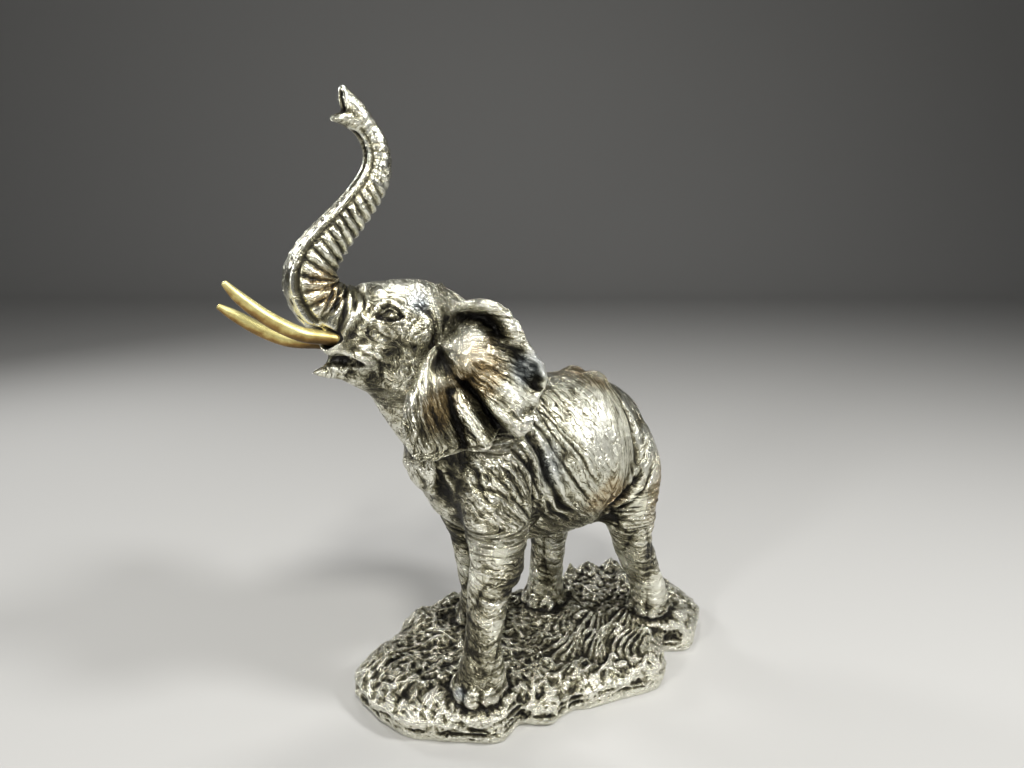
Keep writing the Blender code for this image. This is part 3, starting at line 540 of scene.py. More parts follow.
def face_outwards(obj):
    work = bmesh.new()
    work.from_mesh(obj.data)
    bmesh.ops.recalc_face_normals(work, faces=work.faces)
    work.to_mesh(obj.data)
    work.free()


def spine_of(stations, across, steps=8):
    """A loft's centre line, with the directions along it, to its front and to its side."""
    rows = smooth_curve(stations, steps)
    along = np.gradient(rows[:, :3], axis=0)
    along /= np.linalg.norm(along, axis=1)[:, None]
    across = np.asarray(across, float)
    side = across - (along @ across)[:, None] * along
    side /= np.linalg.norm(side, axis=1)[:, None]
    steps_long = np.linalg.norm(np.diff(rows[:, :3], axis=0), axis=1)
    length = np.concatenate([[0], np.cumsum(steps_long)])
    return rows, along, np.cross(side, along), side, length


def loft(name, stations, across=(0, -1, 0), sides=40, steps=6, cap_rings=5):
    """A closed round-ended body through the stations; across is the direction of the half width."""
    rows, along, front, side, _ = spine_of(stations, across, steps)
    centres, depth, width = rows[:, :3], rows[:, 3], rows[:, 4]
    rings = []
    for k in range(cap_rings):
        lean = math.pi / 2 * (cap_rings - k) / (cap_rings + 0.3)
        back = centres[0] - along[0] * depth[0] * math.sin(lean) * 0.6
        rings.append((back, 0, math.cos(lean)))
    rings += [(centres[i], i, 1.0) for i in range(len(rows))]
    for k in range(cap_rings):
        lean = math.pi / 2 * (k + 1) / (cap_rings + 0.3)
        ahead = centres[-1] + along[-1] * depth[-1] * math.sin(lean) * 0.6
        rings.append((ahead, -1, math.cos(lean)))
    turn = np.arange(sides) * 2 * math.pi / sides
    vertices = np.concatenate([
        centre
        + np.outer(np.cos(turn) * depth[i] * scale, front[i])
        + np.outer(np.sin(turn) * width[i] * scale, side[i])
        for centre, i, scale in rings
    ])
    faces = []
    for ring, k in itertools.product(range(len(rings) - 1), range(sides)):
        a, b = ring * sides + k, ring * sides + (k + 1) % sides
        faces.append((a, b, b + sides, a + sides))
    faces.append(tuple(reversed(range(sides))))
    faces.append(tuple(range((len(rings) - 1) * sides, len(rings) * sides)))
    obj = new_object(name, placed(vertices), faces)
    face_outwards(obj)
    return obj


def head_loft(name, stations, **details):
    """A loft through stations on the head."""
    return loft(name, head_stations(stations), HEAD_LEFT, **details)


def blob(name, centre, radii, turned=0.0):
    """An ellipsoid in parts, with its long way turned about Z by an angle."""
    bpy.ops.mesh.primitive_uv_sphere_add(segments=32, ring_count=20, radius=1)
    obj = bpy.context.object
    obj.name = name
    obj.scale = [r * PART for r in radii]
    obj.rotation_euler = (0, 0, turned)
    obj.location = placed([centre])[0]
    bpy.ops.object.transform_apply(location=True, rotation=True, scale=True)
    return obj


def joined(name, objects):
    """One object that holds the evaluated meshes of the others, which are removed."""
    work = bmesh.new()
    for obj in objects:
        graph = bpy.context.evaluated_depsgraph_get()
        mesh = bpy.data.meshes.new_from_object(obj.evaluated_get(graph), depsgraph=graph)
        work.from_mesh(mesh)
        bpy.data.meshes.remove(mesh)
        bpy.data.objects.remove(obj)
    mesh = bpy.data.meshes.new(name)
    work.to_mesh(mesh)
    work.free()
    made = bpy.data.objects.new(name, mesh)
    bpy.context.scene.collection.objects.link(made)
    return made


def remesh(obj, size):
    step = obj.modifiers.new("remesh", "REMESH")
    step.mode = "VOXEL"
    step.voxel_size = size


def swell(obj, distance):
    step = obj.modifiers.new("swell", "DISPLACE")
    step.mid_level = 0
    step.strength = distance


def soften(obj, factor, times):
    step = obj.modifiers.new("soften", "SMOOTH")
    step.factor = factor
    step.iterations = times


# The parts of the casting

def fused_body():
    """Torso, neck, legs, head and trunk as one skin, with the hollows between them filled in."""
    pieces = [
        loft("torso", TORSO),
        loft("neck", NECK),
        *[loft(name + "_leg", stations) for name, stations in LEGS.items()],
        head_loft("face", FACE),
        head_loft("jaw", JAW),
        head_loft("trunk", TRUNK),
    ]
    for side in (1, -1):
        for name, (x, y, z, *radii) in (("cheek", CHEEKS), ("lip", LIP)):
            pieces.append(blob(name, on_head((x, side * y, z)), radii, -HEAD_YAW))
        x, y, z, *radii = HIPS
        pieces.append(blob("hip", (x, side * y, z), radii))
    body = joined("body", pieces)
    remesh(body, BODY_VOXEL)
    swell(body, BLEND_RADIUS)
    remesh(body, BODY_VOXEL)
    swell(body, -BLEND_RADIUS)
    soften(body, 0.5, 4)
    return joined("body", [body])


def ear_surface(side):
    """The ear's middle surface as rows of points from its root to its margin."""
    rings, steps = 64, 14
    margin = smooth_curve(EAR_MARGIN, steps)
    root = np.array(EAR_ROOT)
    outward = np.array([0.45, 1.0, 0.1])
    outward /= np.linalg.norm(outward)
    turn = EAR_TURN[side]
    share = np.arange(rings + 1) / rings
    rows = []
    for i, row in enumerate(margin):
        upper = max(0.0, min(1.0, (row[2] - 13.5) / 2.5))
        points = root + (row[:3] - root) * share[:, None]
        relief = 0.45 * np.sin(math.pi * share**0.7) + row[3] * share**3.2
        relief += 0.30 * upper * hill(share, 0.90, 0.09)
        for rise, ahead, behind, path in EAR_FOLDS:
            apart, _, is_behind = beside(points[:, [0, 2]], path)
            relief += rise * hill(apart, 0, np.where(is_behind, behind, ahead))
        wave = columns(i / steps * 1.6, share * 2.2, 0.0)
        relief += 0.12 * (creased(wave, 11 + side) - 0.5) * step_up(share, 0.4, 0.8)
        points = points + outward * relief[:, None]
        forward, left = points[:, 0] - root[0], points[:, 1] - root[1]
        points[:, 0] = root[0] + forward * math.cos(turn) + left * math.sin(turn)
        points[:, 1] = root[1] + left * math.cos(turn) - forward * math.sin(turn)
        points[:, 0] -= EAR_BACK[side] * share
        rows.append([on_head((p[0], side * p[1], p[2])) for p in points])
    return np.array(rows)


def ear(name, side):
    surface = ear_surface(side)
    count, stride = surface.shape[:2]
    faces = [
        (i * stride + k, i * stride + k + 1, (i + 1) * stride + k + 1, (i + 1) * stride + k)
        for i, k in itertools.product(range(count - 1), range(stride - 1))
    ]
    obj = new_object(name, placed(surface.reshape(-1, 3)), faces)
    solid = obj.modifiers.new("thickness", "SOLIDIFY")
    solid.thickness = EAR_THICKNESS
    solid.offset = 0
    return obj


def tuft_places(x, y):
    """On the ground in parts: a place along the rows of grass, and one across them, in rows."""
    spot = columns(x, y, 0.0)
    sway = noise(spot / 2.6, 21) - 0.5
    across = -x * math.sin(TUFT_TURN) + y * math.cos(TUFT_TURN) + 1.3 * sway
    along = x * math.cos(TUFT_TURN) + y * math.sin(TUFT_TURN) + 0.9 * (noise(spot / 1.9, 22) - 0.5)
    row = across / TUFT_ROW + 0.38 * np.abs(np.sin(math.pi * along / 1.7))
    fall = row - np.floor(row)
    along = along - 0.9 * fall**2
    return along, row


def tufts(x, y):
    """Combed grass from 0 to 1: a crest at the back of each row, and blades that fall forward."""
    along, row = tuft_places(x, y)
    fall = row - np.floor(row)
    blades = (0.5 + 0.5 * np.cos(2 * math.pi * (along / BLADE_PITCH + 0.37 * np.floor(row)))) ** 1.3
    return fall**1.1 * step_down(fall, 0.90, 1.0) * (0.30 + 0.70 * blades)


def grassy(x, y):
    """1 in the middle of the grass and 0 away from it, at x and y in metres."""
    return np.exp(-((((x - 0.018) / 0.036) ** 2 + ((y + 0.026) / 0.027) ** 2) ** 1.5))


def ground_relief(x, y):
    """Lumps, rocks, pebbles and combed grass on the ground, in metres, at x and y in metres."""
    flat = columns(x, y, 0.0)
    lumps = noise(flat / 0.011, 1) - 0.5
    pebbles = noise(flat / 0.0046, 2) - 0.5
    grass = grassy(x, y)
    relief = 0.0030 * lumps + 0.0013 * pebbles * (1 - grass)
    relief += 0.0062 * grass * (tufts(x / PART, y / PART) - 0.35)
    bend = (noise(flat / 0.009, 8) - 0.5)[:, None] * 1.6
    grit = knobs(x, y, 0.0036, 31) * step_up(noise(flat / 0.010, 7), 0.30, 0.55)
    fine_grit = knobs(x + 0.002, y, 0.0021, 41)
    crests = 1 - creased(flat / 0.0046 + bend, 9)
    fine_crests = 1 - creased(flat / 0.0025 + bend, 10)
    broken = 0.3 + 0.9 * step_up(noise(flat / 0.013, 11), 0.3, 0.7)
    rough = 0.0008 * grit + 0.0007 * fine_grit + 0.0018 * broken * (crests - 0.5)
    relief += (1 - 0.9 * grass) * (rough + 0.0018 * (fine_crests - 0.5))
    for rock_x, rock_y, reach, height in ROCKS:
        away = np.hypot(x - rock_x * GROUND_LENGTH / 2, y - rock_y * GROUND_WIDTH / 2)
        shape = hill(away, 0, reach)
        relief += height * shape * (0.7 + 0.6 * knobs(x, y, 0.0034, 51))
    return relief


def ground():
    """The patch of ground as a closed body, flat below."""
    rings = 140
    outline = smooth_curve(GROUND_OUTLINE, 14, closed=True)
    outline = outline * np.array([GROUND_LENGTH / 2, GROUND_WIDTH / 2])
    count = len(outline)
    plan = np.concatenate([[[0.0, 0.0]]] + [outline * k / rings for k in range(1, rings + 1)])
    reach = np.concatenate([[0.0]] + [np.full(count, k / rings) for k in range(1, rings + 1)])
    fall = np.clip((reach - FALL_START) / (1 - FALL_START), 0, 1) ** 1.6
    level = SOLE_HEIGHT - SOLES_SUNK
    relief = ground_relief(plan[:, 0], plan[:, 1]) * (1 - 0.5 * fall)
    top = level + (GROUND_EDGE - level) * fall + relief
    for stations in LEGS.values():
        *foot, depth, _ = stations[-2]
        foot = placed(foot)
        away = np.hypot(plan[:, 0] - foot[0], plan[:, 1] - foot[1]) / (depth * PART)
        trodden = np.exp(-((away / 1.45) ** 4))
        top = blend(top, level, 0.8 * trodden)
    wall = smooth_curve([(1.0, 1.0), (0.75, 1.0), (0.5, 0.99), (0.25, 0.99), (0.0, 0.975)], 5)[1:]
    vertices = [np.column_stack([plan, top])]
    rim = vertices[0][-count:]
    broken = noise(rim / 0.009, 3) - 0.5
    for share, spread in wall:
        strata = creased(columns(rim[:, 0] / 0.012, rim[:, 1] / 0.012, share * 4.0), 61) - 0.5
        edge = math.sin(math.pi * min(share, 1.0)) ** 0.5 if share > 0 else 0.0
        spreads = spread + 0.025 * broken * (1 if share > 0 else 0) + 0.014 * strata * edge
        heights = rim[:, 2] * (share + 0.25 * broken * edge)
        vertices.append(np.column_stack([rim[:, :2] * spreads[:, None], np.maximum(heights, 0)]))
    vertices = np.concatenate(vertices)
    rows = rings + len(wall)
    faces = [(0, 1 + k, 1 + (k + 1) % count) for k in range(count)]
    for ring, k in itertools.product(range(rows - 1), range(count)):
        a, b = 1 + ring * count + k, 1 + ring * count + (k + 1) % count
        faces.append((a, a + count, b + count, b))
    faces.append(tuple(1 + (rows - 1) * count + k for k in range(count)))
    obj = new_object("ground", vertices, faces)
    face_outwards(obj)
    return obj


def toes(name, foot, turns):
    """Toenails: a low ellipsoid each, round the front of a foot."""
    made = []
    for k, turn in enumerate(turns):
        angle = math.radians(turn)
        x = foot[0] - 0.96 * foot[3] * math.cos(angle)
        y = foot[1] - 0.96 * foot[4] * math.sin(angle)
        made.append(blob(f"{name}_{k}", (x, y, 0.22), NAIL, angle))
    return made


# Carving

def on_spine(spine, points):
    """For each point: how far along the spine it is, its offsets to front and side, the radius."""
    rows, along, front, side, length = spine
    nearest = np.empty(len(points), int)
    for start in range(0, len(points), AT_ONCE):
        some = points[start : start + AT_ONCE]
        apart = ((some[:, None, :] - rows[None, :, :3]) ** 2).sum(axis=2)
        nearest[start : start + AT_ONCE] = apart.argmin(axis=1)
    offset = points - rows[nearest, :3]
    ahead = (offset * along[nearest]).sum(axis=1)
    to_front = (offset * front[nearest]).sum(axis=1)
    to_side = (offset * side[nearest]).sum(axis=1)
    return length[nearest] + ahead, to_front, to_side, rows[nearest, 3], nearest


TRUNK_SPINE = spine_of(head_stations(TRUNK), HEAD_LEFT)
TRUNK_LENGTH = TRUNK_SPINE[4][-1]
LEG_SPINES = [spine_of(stations, (0, -1, 0)) for stations in LEGS.values()]


def ring_count(along):
    """How many rings lie between the trunk's root and a place on it: they crowd towards its tip."""
    first, last = RING_PITCHES
    share = np.clip(along / TRUNK_LENGTH, -0.3, 1)
    return -TRUNK_LENGTH / (first - last) * np.log(1 - (1 - last / first) * share)


def carve_trunk(points, normals):
    """Rings round the back and sides of the trunk, and the hollow face with raised rims under it."""
    along, front, side, radius, index = on_spine(TRUNK_SPINE, points)
    share = np.clip(along / TRUNK_LENGTH, 0, 1)
    off = np.hypot(front, side)
    close = step_down(off, 1.25 * radius, 1.5 * radius)
    near = close * step_up(along, 0.2, 1.2)
    near = near * step_down(along, TRUNK_LENGTH - 0.5, TRUNK_LENGTH)
    lean = np.abs(np.arctan2(side, front))
    square = np.minimum(0.90 / np.cos(np.minimum(lean, 1.2)), RIM_REACH) - 1
    square *= step_down(lean, 0.75, 1.15)
    rim = 0.09 * hill(lean, 0.80, 0.10) - 0.06 * hill(lean, 1.02, 0.08)
    hollow = -0.34 * step_up(share, 0.50, 0.75) * step_down(lean, 0.1, 0.62)
    outward = (front[:, None] * TRUNK_SPINE[2][index] + side[:, None] * TRUNK_SPINE[3][index])
    outward = outward / off[:, None]
    moved = points + (near * radius * (square + hollow + rim))[:, None] * outward
    phase = ring_count(along) + 0.6 * (noise(points * 0.9, 12) - 0.5) + 0.35 * (lean - 1.5)
    apart = np.abs(phase - np.round(phase))
    each = columns(np.round(phase) * 3.7, lean * 1.3, 0.0)
    strength = 0.45 + 1.1 * noise(each, 13)
    crest = (2 * apart) ** 0.9 - 0.55
    thin = hill(apart, 0.5, 0.10) * (noise(points * 2.3, 14) - 0.25)
    back = step_up(lean + 0.12 * (noise(each * 1.7, 23) - 0.5), 1.00, 1.22)
    rings = close * step_up(along, -1.5, 0.9) * back
    rings = rings * step_down(along, TRUNK_LENGTH - 0.4, TRUNK_LENGTH + 0.2)
    depth = RING_DEPTH * strength * (1 - 0.68 * step_up(share, 0.52, 0.80))
    push = rings * depth * (crest - 0.5 * thin)
    dots = np.abs(phase - np.floor(phase) - 0.5)
    dimple = hill(dots, 0, 0.2) * hill(lean, 0.55, 0.13) * step_down(share, 0.5, 0.7)
    ridges = np.abs(2 * dots - 0.5) * step_down(lean, 0.5, 0.7) * step_up(share, 0.45, 0.65)
    push = push - near * (0.08 * dimple + 0.12 * radius * ridges)
    return moved + push[:, None] * normals


def carve_tip(points, normals):
    """Two nostrils sunk in the end of the trunk, between its upper and its lower finger."""
    head = from_head(points)
    facing = normals @ (AHEAD * 0.8 + np.array([0, 0, 0.6]))
    middle = head[:, 0] + 0.55 * (head[:, 2] - 23.85)
    here = step_up(head[:, 2], 23.45, 23.6) * step_down(head[:, 2], 24.2, 24.45)
    here = here * step_up(facing, 0.0, 0.4) * step_up(middle, 3.5, 3.7)
    nostril = hill(np.abs(head[:, 1]), 0.15, 0.09)
    return points - (0.26 * here * nostril)[:, None] * normals


def carve_folds(points, normals, seen, facing, folds):
    """Folds on both sides of the figure, along paths on its side view, where the skin faces there."""
    moved = points.copy()
    sway = columns(noise(points * 1.1, 24), noise(points * 1.1, 25))
    seen = seen + 0.30 * (sway - 0.5)
    for width, depth, path in folds:
        low, high = np.min(path, axis=0) - 4 * width, np.max(path, axis=0) + 4 * width
        chosen = np.nonzero(((seen > low) & (seen < high)).all(axis=1) & (facing > 0.1))[0]
        if len(chosen) == 0:
            continue
        away, place, _ = beside(seen[chosen], path)
        away = away / width
        ends = step_up(place, 0, 0.3) * step_down(place, 0.65, 1)
        uneven = 0.6 + 0.8 * noise(points[chosen] * 1.4, 26)
        shape = -np.exp(-(away**1.5)) + 0.36 * hill(away, 1.7, 0.9)
        push = depth * shape * ends * uneven * step_up(facing[chosen], 0.15, 0.5)
        moved[chosen] += push[:, None] * normals[chosen]
    return moved


def carve_eyes(points, normals):
    """On each side of the head a lidded eye in its hollow, a brow above it and the temple behind."""
    moved = points
    for side in (1, -1):
        x, y, z = EYE
        offset = points - np.array(on_head((x, side * y, z)))
        u, v = offset @ AHEAD, offset[:, 2]
        away = np.linalg.norm(offset, axis=1)
        here = step_down(away, 1.0, 1.5)
        rise = v + 0.08
        sides, height = np.abs((u - 0.08) / 0.58), np.abs(rise) / np.where(rise > 0, 0.50, 0.22)
        arch = (sides**1.5 + height**1.5) ** (1 / 1.5)
        ball = np.exp(-1.6 * ((u / 0.21) ** 2 + ((v + 0.02) / 0.16) ** 2))
        upper, lower = step_up(v, 0.0, 0.12), step_down(v, -0.12, -0.02)
        shape = EYEBALL_RISE * ball - SOCKET_OF_EYE * step_down(arch, 0.60, 1.05)
        shape += 0.08 * upper * hill(arch, 0.66, 0.11)
        shape += 0.05 * step_up(v, -0.05, 0.15) * hill(arch, 1.22, 0.16)
        shape += 0.03 * lower * hill(arch, 1.10, 0.16) * hill(u, -0.05, 0.22)
        temple = np.array(on_head((x - 1.25, side * (y + 0.25), z + 0.35)))
        dip = hill(np.linalg.norm(points - temple, axis=1), 0, TEMPLE_REACH)
        moved = moved + (here * shape - TEMPLE_DEPTH * dip)[:, None] * normals
    return moved


def carve_sockets(points, normals):
    """A dark ring sunk into the lip round the root of each tusk."""
    moved = points
    for rows in (LEFT_TUSK, RIGHT_TUSK):
        mouth, onward = np.array(on_head(rows[0])), np.array(on_head(rows[1]))
        outward = (onward - mouth) / np.linalg.norm(onward - mouth)
        offset = points - mouth
        ahead = offset @ outward
        off = np.linalg.norm(offset - ahead[:, None] * outward, axis=1)
        inside = step_down(off, 0.34, 0.46) * step_up(ahead, -0.7, -0.3) * step_down(ahead, 0.8, 1.2)
        swollen = hill(off, 0.55, 0.10) * step_down(np.abs(ahead), 0.2, 0.5)
        moved = moved - (0.45 * inside)[:, None] * outward + (0.05 * swollen)[:, None] * normals
    return moved


def flow(points):
    """Which way the hide's fine lines run: a coordinate across them, one along them, and the weights
    of trunk, ear, legs, head and ground at each point."""
    head = from_head(points)
    along, front, side, radius, _ = on_spine(TRUNK_SPINE, points)
    off = np.hypot(front, side)
    trunk = step_down(off, 1.3 * radius, 1.7 * radius) * step_up(along, -0.2, 0.6)
    lateral = np.abs(head[:, 1])
    out, up = head[:, 0] - EAR_ROOT[0], head[:, 2] - EAR_ROOT[2]
    reach = np.hypot(out, up)
    ear_weight = step_up(lateral, 2.3, 2.7) * step_up(head[:, 2], 10.4, 11.4)
    ear_weight *= step_down(reach, 4.8, 5.2)
    face = step_up(head[:, 0], 0.2, 1.2) * step_up(head[:, 2], 12.4, 13.4) * (1 - ear_weight)
    x, z = points[:, 0], points[:, 2]
    across = x + 0.5 * (z - 9) - 0.19 * np.minimum(z - 9, 0) ** 2
    length = z + 0.5 * points[:, 1]
    rump = step_up(x, 1.4, 3.2)
    across = blend(across, -5.0 * np.arctan2(z - 5.6, x - 0.6), rump)
    length = blend(length, np.hypot(z - 5.6, x - 0.6), rump)
    legs = np.zeros(len(points))
    low = np.nonzero((z < 7.8) & (z > -0.8))[0]
    for spine in LEG_SPINES:
        _, leg_front, leg_side, leg_radius, _ = on_spine(spine, points[low])
        leg_off = np.hypot(leg_front, leg_side)
        here = step_down(leg_off, 1.2 * leg_radius, 1.5 * leg_radius)
        here *= step_down(z[low], 6.2, 7.6)
        angle = 1.5 * leg_side / np.maximum(leg_off, 0.1)
        across[low] = blend(across[low], z[low] + 0.3 * angle, here)
        length[low] = blend(length[low], angle, here)
        legs[low] = np.maximum(legs[low], here)
    cheek = np.hypot(head[:, 0] - 3.6, head[:, 2] - 14.3)
    round_mouth = np.arctan2(head[:, 2] - 14.3, 3.6 - head[:, 0])
    across = blend(across, cheek, face)
    length = blend(length, 2 * round_mouth, face)
    fan = np.arctan2(0.64 * out - 0.77 * up, -0.77 * out - 0.64 * up)
    across = blend(across, 2.4 * fan * (0.6 + 0.4 * reach), ear_weight)
    length = blend(length, reach, ear_weight)
    across = blend(across, along, trunk)
    length = blend(length, np.abs(np.arctan2(side, front)), trunk)
    on_ground = step_down(z, 0.15, 0.55)
    blade, row = tuft_places(x, points[:, 1])
    across, length = blend(across, blade, on_ground), blend(length, row, on_ground)
    return across, length, trunk, ear_weight, legs, face, on_ground


def carve_hide(points, normals):
    """Wrinkles that follow the flow of the hide, and the broken face of the ground."""
    across, along, trunk, ear_weight, legs, face, on_ground = flow(points)
    wrinkled = (1 - on_ground) * (1 - 0.9 * trunk)
    x, z = points[:, 0], points[:, 2]
    flank = hill(x, -2.7, 1.7) * hill(z, 9.0, 2.6) * (1 - ear_weight) * (1 - legs)
    thigh = hill(x, 3.0, 1.3) * hill(z, 7.2, 1.6) * (1 - legs)
    wide = columns(across * 1.9 + 1.2 * noise(points / 2.2, 15), along * 0.30, 0.0)
    fine = columns(across * 4.6 + 1.8 * noise(points / 1.3, 16), along * 0.8, 0.0)
    patchy = step_up(noise(points / 1.7, 17), 0.25, 0.65)
    smooth_root = 1 - ear_weight * step_down(np.abs(along), 0.7, 2.0)
    shape = (0.040 + 0.15 * flank + 0.08 * thigh) * (creased(wide, 18) - 0.6) * (1 - 0.75 * face)
    fine_share = (0.4 + 0.6 * patchy) * (1 - 0.6 * face + 0.4 * legs)
    shape += (0.045 + 0.03 * flank) * (creased(fine, 19) - 0.5) * fine_share
    shape += 0.05 * ear_weight * (creased(fine * 0.8, 20) - 0.5)
    shape *= smooth_root
    shape += 0.05 * (noise(points * 1.3, 29) - 0.5) + 0.015 * (noise(points * 3.1, 30) - 0.5)
    shape += 0.025 * face * (creased(points * 2.9, 32) - 0.5)
    tendons = creased(points * np.array([1.1, 1.1, 0.28]), 35) - 0.5
    joints = hill(z, 5.3, 0.9) + 0.8 * hill(z, 1.7, 0.5)
    bands = creased(columns(across * 2.4, along * 0.8, 0.0) + 3.1, 37) - 0.55
    shape += legs * (0.15 * tendons + 0.09 * joints * (creased(fine * 0.7, 36) - 0.5))
    shape += legs * 0.10 * bands * (0.3 + 0.7 * step_up(noise(points * 0.7, 38), 0.35, 0.6))
    strata = np.array([1.3, 1.3, 3.6])
    broken = 0.17 * (0.5 - creased(points * strata, 33)) + 0.07 * (0.5 - creased(points * 4.3, 34))
    side_on = step_down(np.abs(normals[:, 2]), 0.3, 0.9)
    broken = broken * on_ground * (0.2 + 0.8 * side_on) * step_up(z, -1.6, -1.4)
    return points + (wrinkled * shape + broken)[:, None] * normals


def carved(mesh):
    """Carves the casting's skin."""
    points, normals = skin_of(mesh)
    points = carve_trunk(in_parts(points), normals)
    points = carve_tip(points, normals)
    points = carve_hide(points, normals)
    points = carve_folds(points, normals, points[:, [0, 2]], np.abs(normals[:, 1]), HIDE_FOLDS)
    head = from_head(points)
    facing = np.abs(normals @ HEAD_LEFT) * step_up(head[:, 0], 0.5, 1.5)
    points = carve_folds(points, normals, head[:, [0, 2]], facing, FACE_FOLDS)
    points = carve_eyes(points, normals)
    points = carve_sockets(points, normals)
    points = placed(points)
    points[points[:, 2] < FLAT_BELOW, 2] = 0
    move_skin(mesh, points)


# What the finish reads from the skin

def hollowness(mesh):
    """How deep each vertex lies in a hollow (above 0) or how far it stands on a ridge (below 0)."""
    points, normals = skin_of(mesh)
    mean_round = averager(mesh)
    total = 0.0
    smooth = points
    done = 0
    for rounds, scale in HOLLOW_SCALES:
        for _ in range(rounds - done):
            smooth = blend(smooth, columns(*[mean_round(axis) for axis in smooth.T]), 0.6)
        done = rounds
        total = total + np.tanh(((smooth - points) * normals).sum(axis=1) / scale)
    return total / len(HOLLOW_SCALES)


def shut_in(mesh):
    """How far each vertex is shut in by the skin round it, from 0 in the open to 1; the silver finish paints
    it in as shade.
    """
    points, normals = skin_of(mesh)
    count = len(points)
    tree = BVHTree.FromPolygons(points.tolist(), [tuple(face.vertices) for face in mesh.polygons])
    side = np.cross(normals, np.where(np.abs(normals[:, 2:]) < 0.9, [[0, 0, 1.0]], [[1.0, 0, 0]]))
    side /= np.linalg.norm(side, axis=1)[:, None]
    other = np.cross(normals, side)
    spin = 2 * math.pi * scattered(columns(*[np.arange(count)] * 3), 71)
    total = np.zeros(count)
    starts = [Vector(p) for p in points + normals * RAY_START]
    for k in range(RAYS):
        level = math.sqrt(1 - (k + 0.5) / RAYS)
        out, turn = math.sqrt(1 - level**2), spin + k * GOLDEN_TURN
        ways = (level * normals + out * np.cos(turn)[:, None] * side
                + out * np.sin(turn)[:, None] * other)
        for i, (start, way) in enumerate(zip(starts, ways.tolist())):
            met = tree.ray_cast(start, way, RAY_REACH)[3]
            if met is not None:
                total[i] += 1 - met / RAY_REACH
    total /= RAYS
    mean_round = averager(mesh)
    for _ in range(3):
        total = blend(total, mean_round(total), 0.5)
    return total


def keep_value(mesh, name, values):
    """Keeps a value or a vector for each vertex under a name that a finish can read."""
    values = np.asarray(values, float)
    kind = "FLOAT" if values.ndim == 1 else "FLOAT_VECTOR"
    attribute = mesh.attributes.new(name, kind, "POINT")
    attribute.data.foreach_set("value" if values.ndim == 1 else "vector", values.ravel())


def bell(points, centre, reach):
    """1 at the centre, and smoothly down to nearly 0 at twice the reach from it."""
    return hill(points, np.array(centre), reach).prod(axis=1)


# Soft patches of a finish: how strong, then the centre and the reach, in parts. Those on the head are
# forward, to either side and up, and those on the body are x, to either side and up.
WARM_ON_HEAD = [
    (1.0, (0.2, 3.4, 14.3), (1.0, 3.0, 1.3)),
    (1.0, (1.9, 3.6, 12.9), (0.8, 3.0, 1.2)),
    (1.0, (5.3, 1.0, 17.3), (0.9, 1.5, 1.0)),
]
WARM_ON_BODY = [
    (1.0, (1.2, 3.4, 7.6), (1.5, 2.5, 1.1)),
    (0.8, (2.5, 0.0, 12.4), (2.5, 3.0, 0.9)),
    (0.9, (4.6, 2.6, 6.8), (1.3, 2.0, 2.5)),
]
COOL_ON_HEAD = [
    (1.0, (1.7, 1.8, 16.7), (0.6, 1.5, 0.6)),
    (1.0, (-1.7, 4.1, 14.2), (0.7, 2.0, 0.9)),
]
COOL_ON_BODY = [(0.7, (-2.0, 3.2, 9.5), (1.0, 2.0, 1.5))]
COOL_ROCK = ((-6.5, -3.0, 0.4), (0.4, 0.4, 0.4))
# Painted light and shade: above 0 it is painted shade under the jaw, round the ear's lower front lobe, in
# the eye, on the legs and on the chest; below 0 it is painted light on the ear's lobes, the top of the head,
# by the mouth and on the flank
PAINTED_LIGHT_AND_SHADE_ON_HEAD = [
    (0.14, (2.8, 1.5, 13.0), (1.3, 1.8, 0.9)),
    (0.14, (2.0, 3.5, 12.0), (0.9, 2.0, 0.9)),
    (0.10, (EYE[0], EYE[1], EYE[2] + 0.05), (0.30, 0.5, 0.14)),
    (-0.08, (-0.9, 3.8, 13.6), (1.0, 2.0, 1.3)),
    (-0.55, (-1.9, 4.1, 14.0), (0.55, 2.0, 0.85)),
    (-0.10, (2.6, 1.0, 17.2), (1.8, 1.5, 0.7)),
    (-0.22, (3.9, 1.2, 13.9), (0.6, 0.8, 0.4)),
]
PAINTED_LIGHT_AND_SHADE_ON_BODY = [
    (0.15, (-5.0, 2.6, 5.0), (2.0, 1.8, 3.4)),
    (0.20, (4.4, 2.0, 4.6), (1.5, 1.6, 2.6)),
    (0.12, (-7.0, 0.0, 9.5), (1.8, 3.0, 2.5)),
    (-0.28, (1.0, 3.2, 10.0), (2.9, 2.4, 2.4)),
]


def patches(points, on_head_rows, on_body_rows):
    """The sum of soft patches on the head and on the body, the same on both sides of each."""
    total = 0.0
    for places, rows in ((from_head(points), on_head_rows), (points.copy(), on_body_rows)):
        places[:, 1] = np.abs(places[:, 1])
        for strength, centre, reach in rows:
            total = total + strength * bell(places, centre, reach)
    return total


def tints(points):
    """Where the skin is the warm tint, the cool tint, and the ground."""
    warm = patches(points, WARM_ON_HEAD, WARM_ON_BODY)
    cool = patches(points, COOL_ON_HEAD, COOL_ON_BODY) + bell(points, *COOL_ROCK)
    return columns(np.clip(warm, 0, 1), np.clip(cool, 0, 1), step_down(points[:, 2], 0.15, 0.55))


def paint_shade_and_mottles(points):
    """How much darker (above 0) or brighter (below 0) the skin is at each point than the rest: painted shade
    on the legs and in patches, painted light in patches, random mottles on the legs, and a darker side wall
    with strata on the ground.
    """
    height = points[:, 2]
    legs = step_up(height, 0.3, 1.2) * step_down(height, 6.0, 8.4)
    mottles = noise(points * np.array([1.0, 1.0, 0.6]), 72) - 0.45
    wall = step_down(height, -0.9, -0.5)
    layers = noise(points * np.array([0.8, 0.8, 4.0]), 73) - 0.45
    # Painted shade darkens the legs as a whole, besides their random mottles; the ground's side wall is
    # darker, with strata
    uneven = legs * (0.05 + 1.05 * mottles) + wall * (0.08 + 0.5 * layers)
    return uneven + patches(points, PAINTED_LIGHT_AND_SHADE_ON_HEAD, PAINTED_LIGHT_AND_SHADE_ON_BODY)


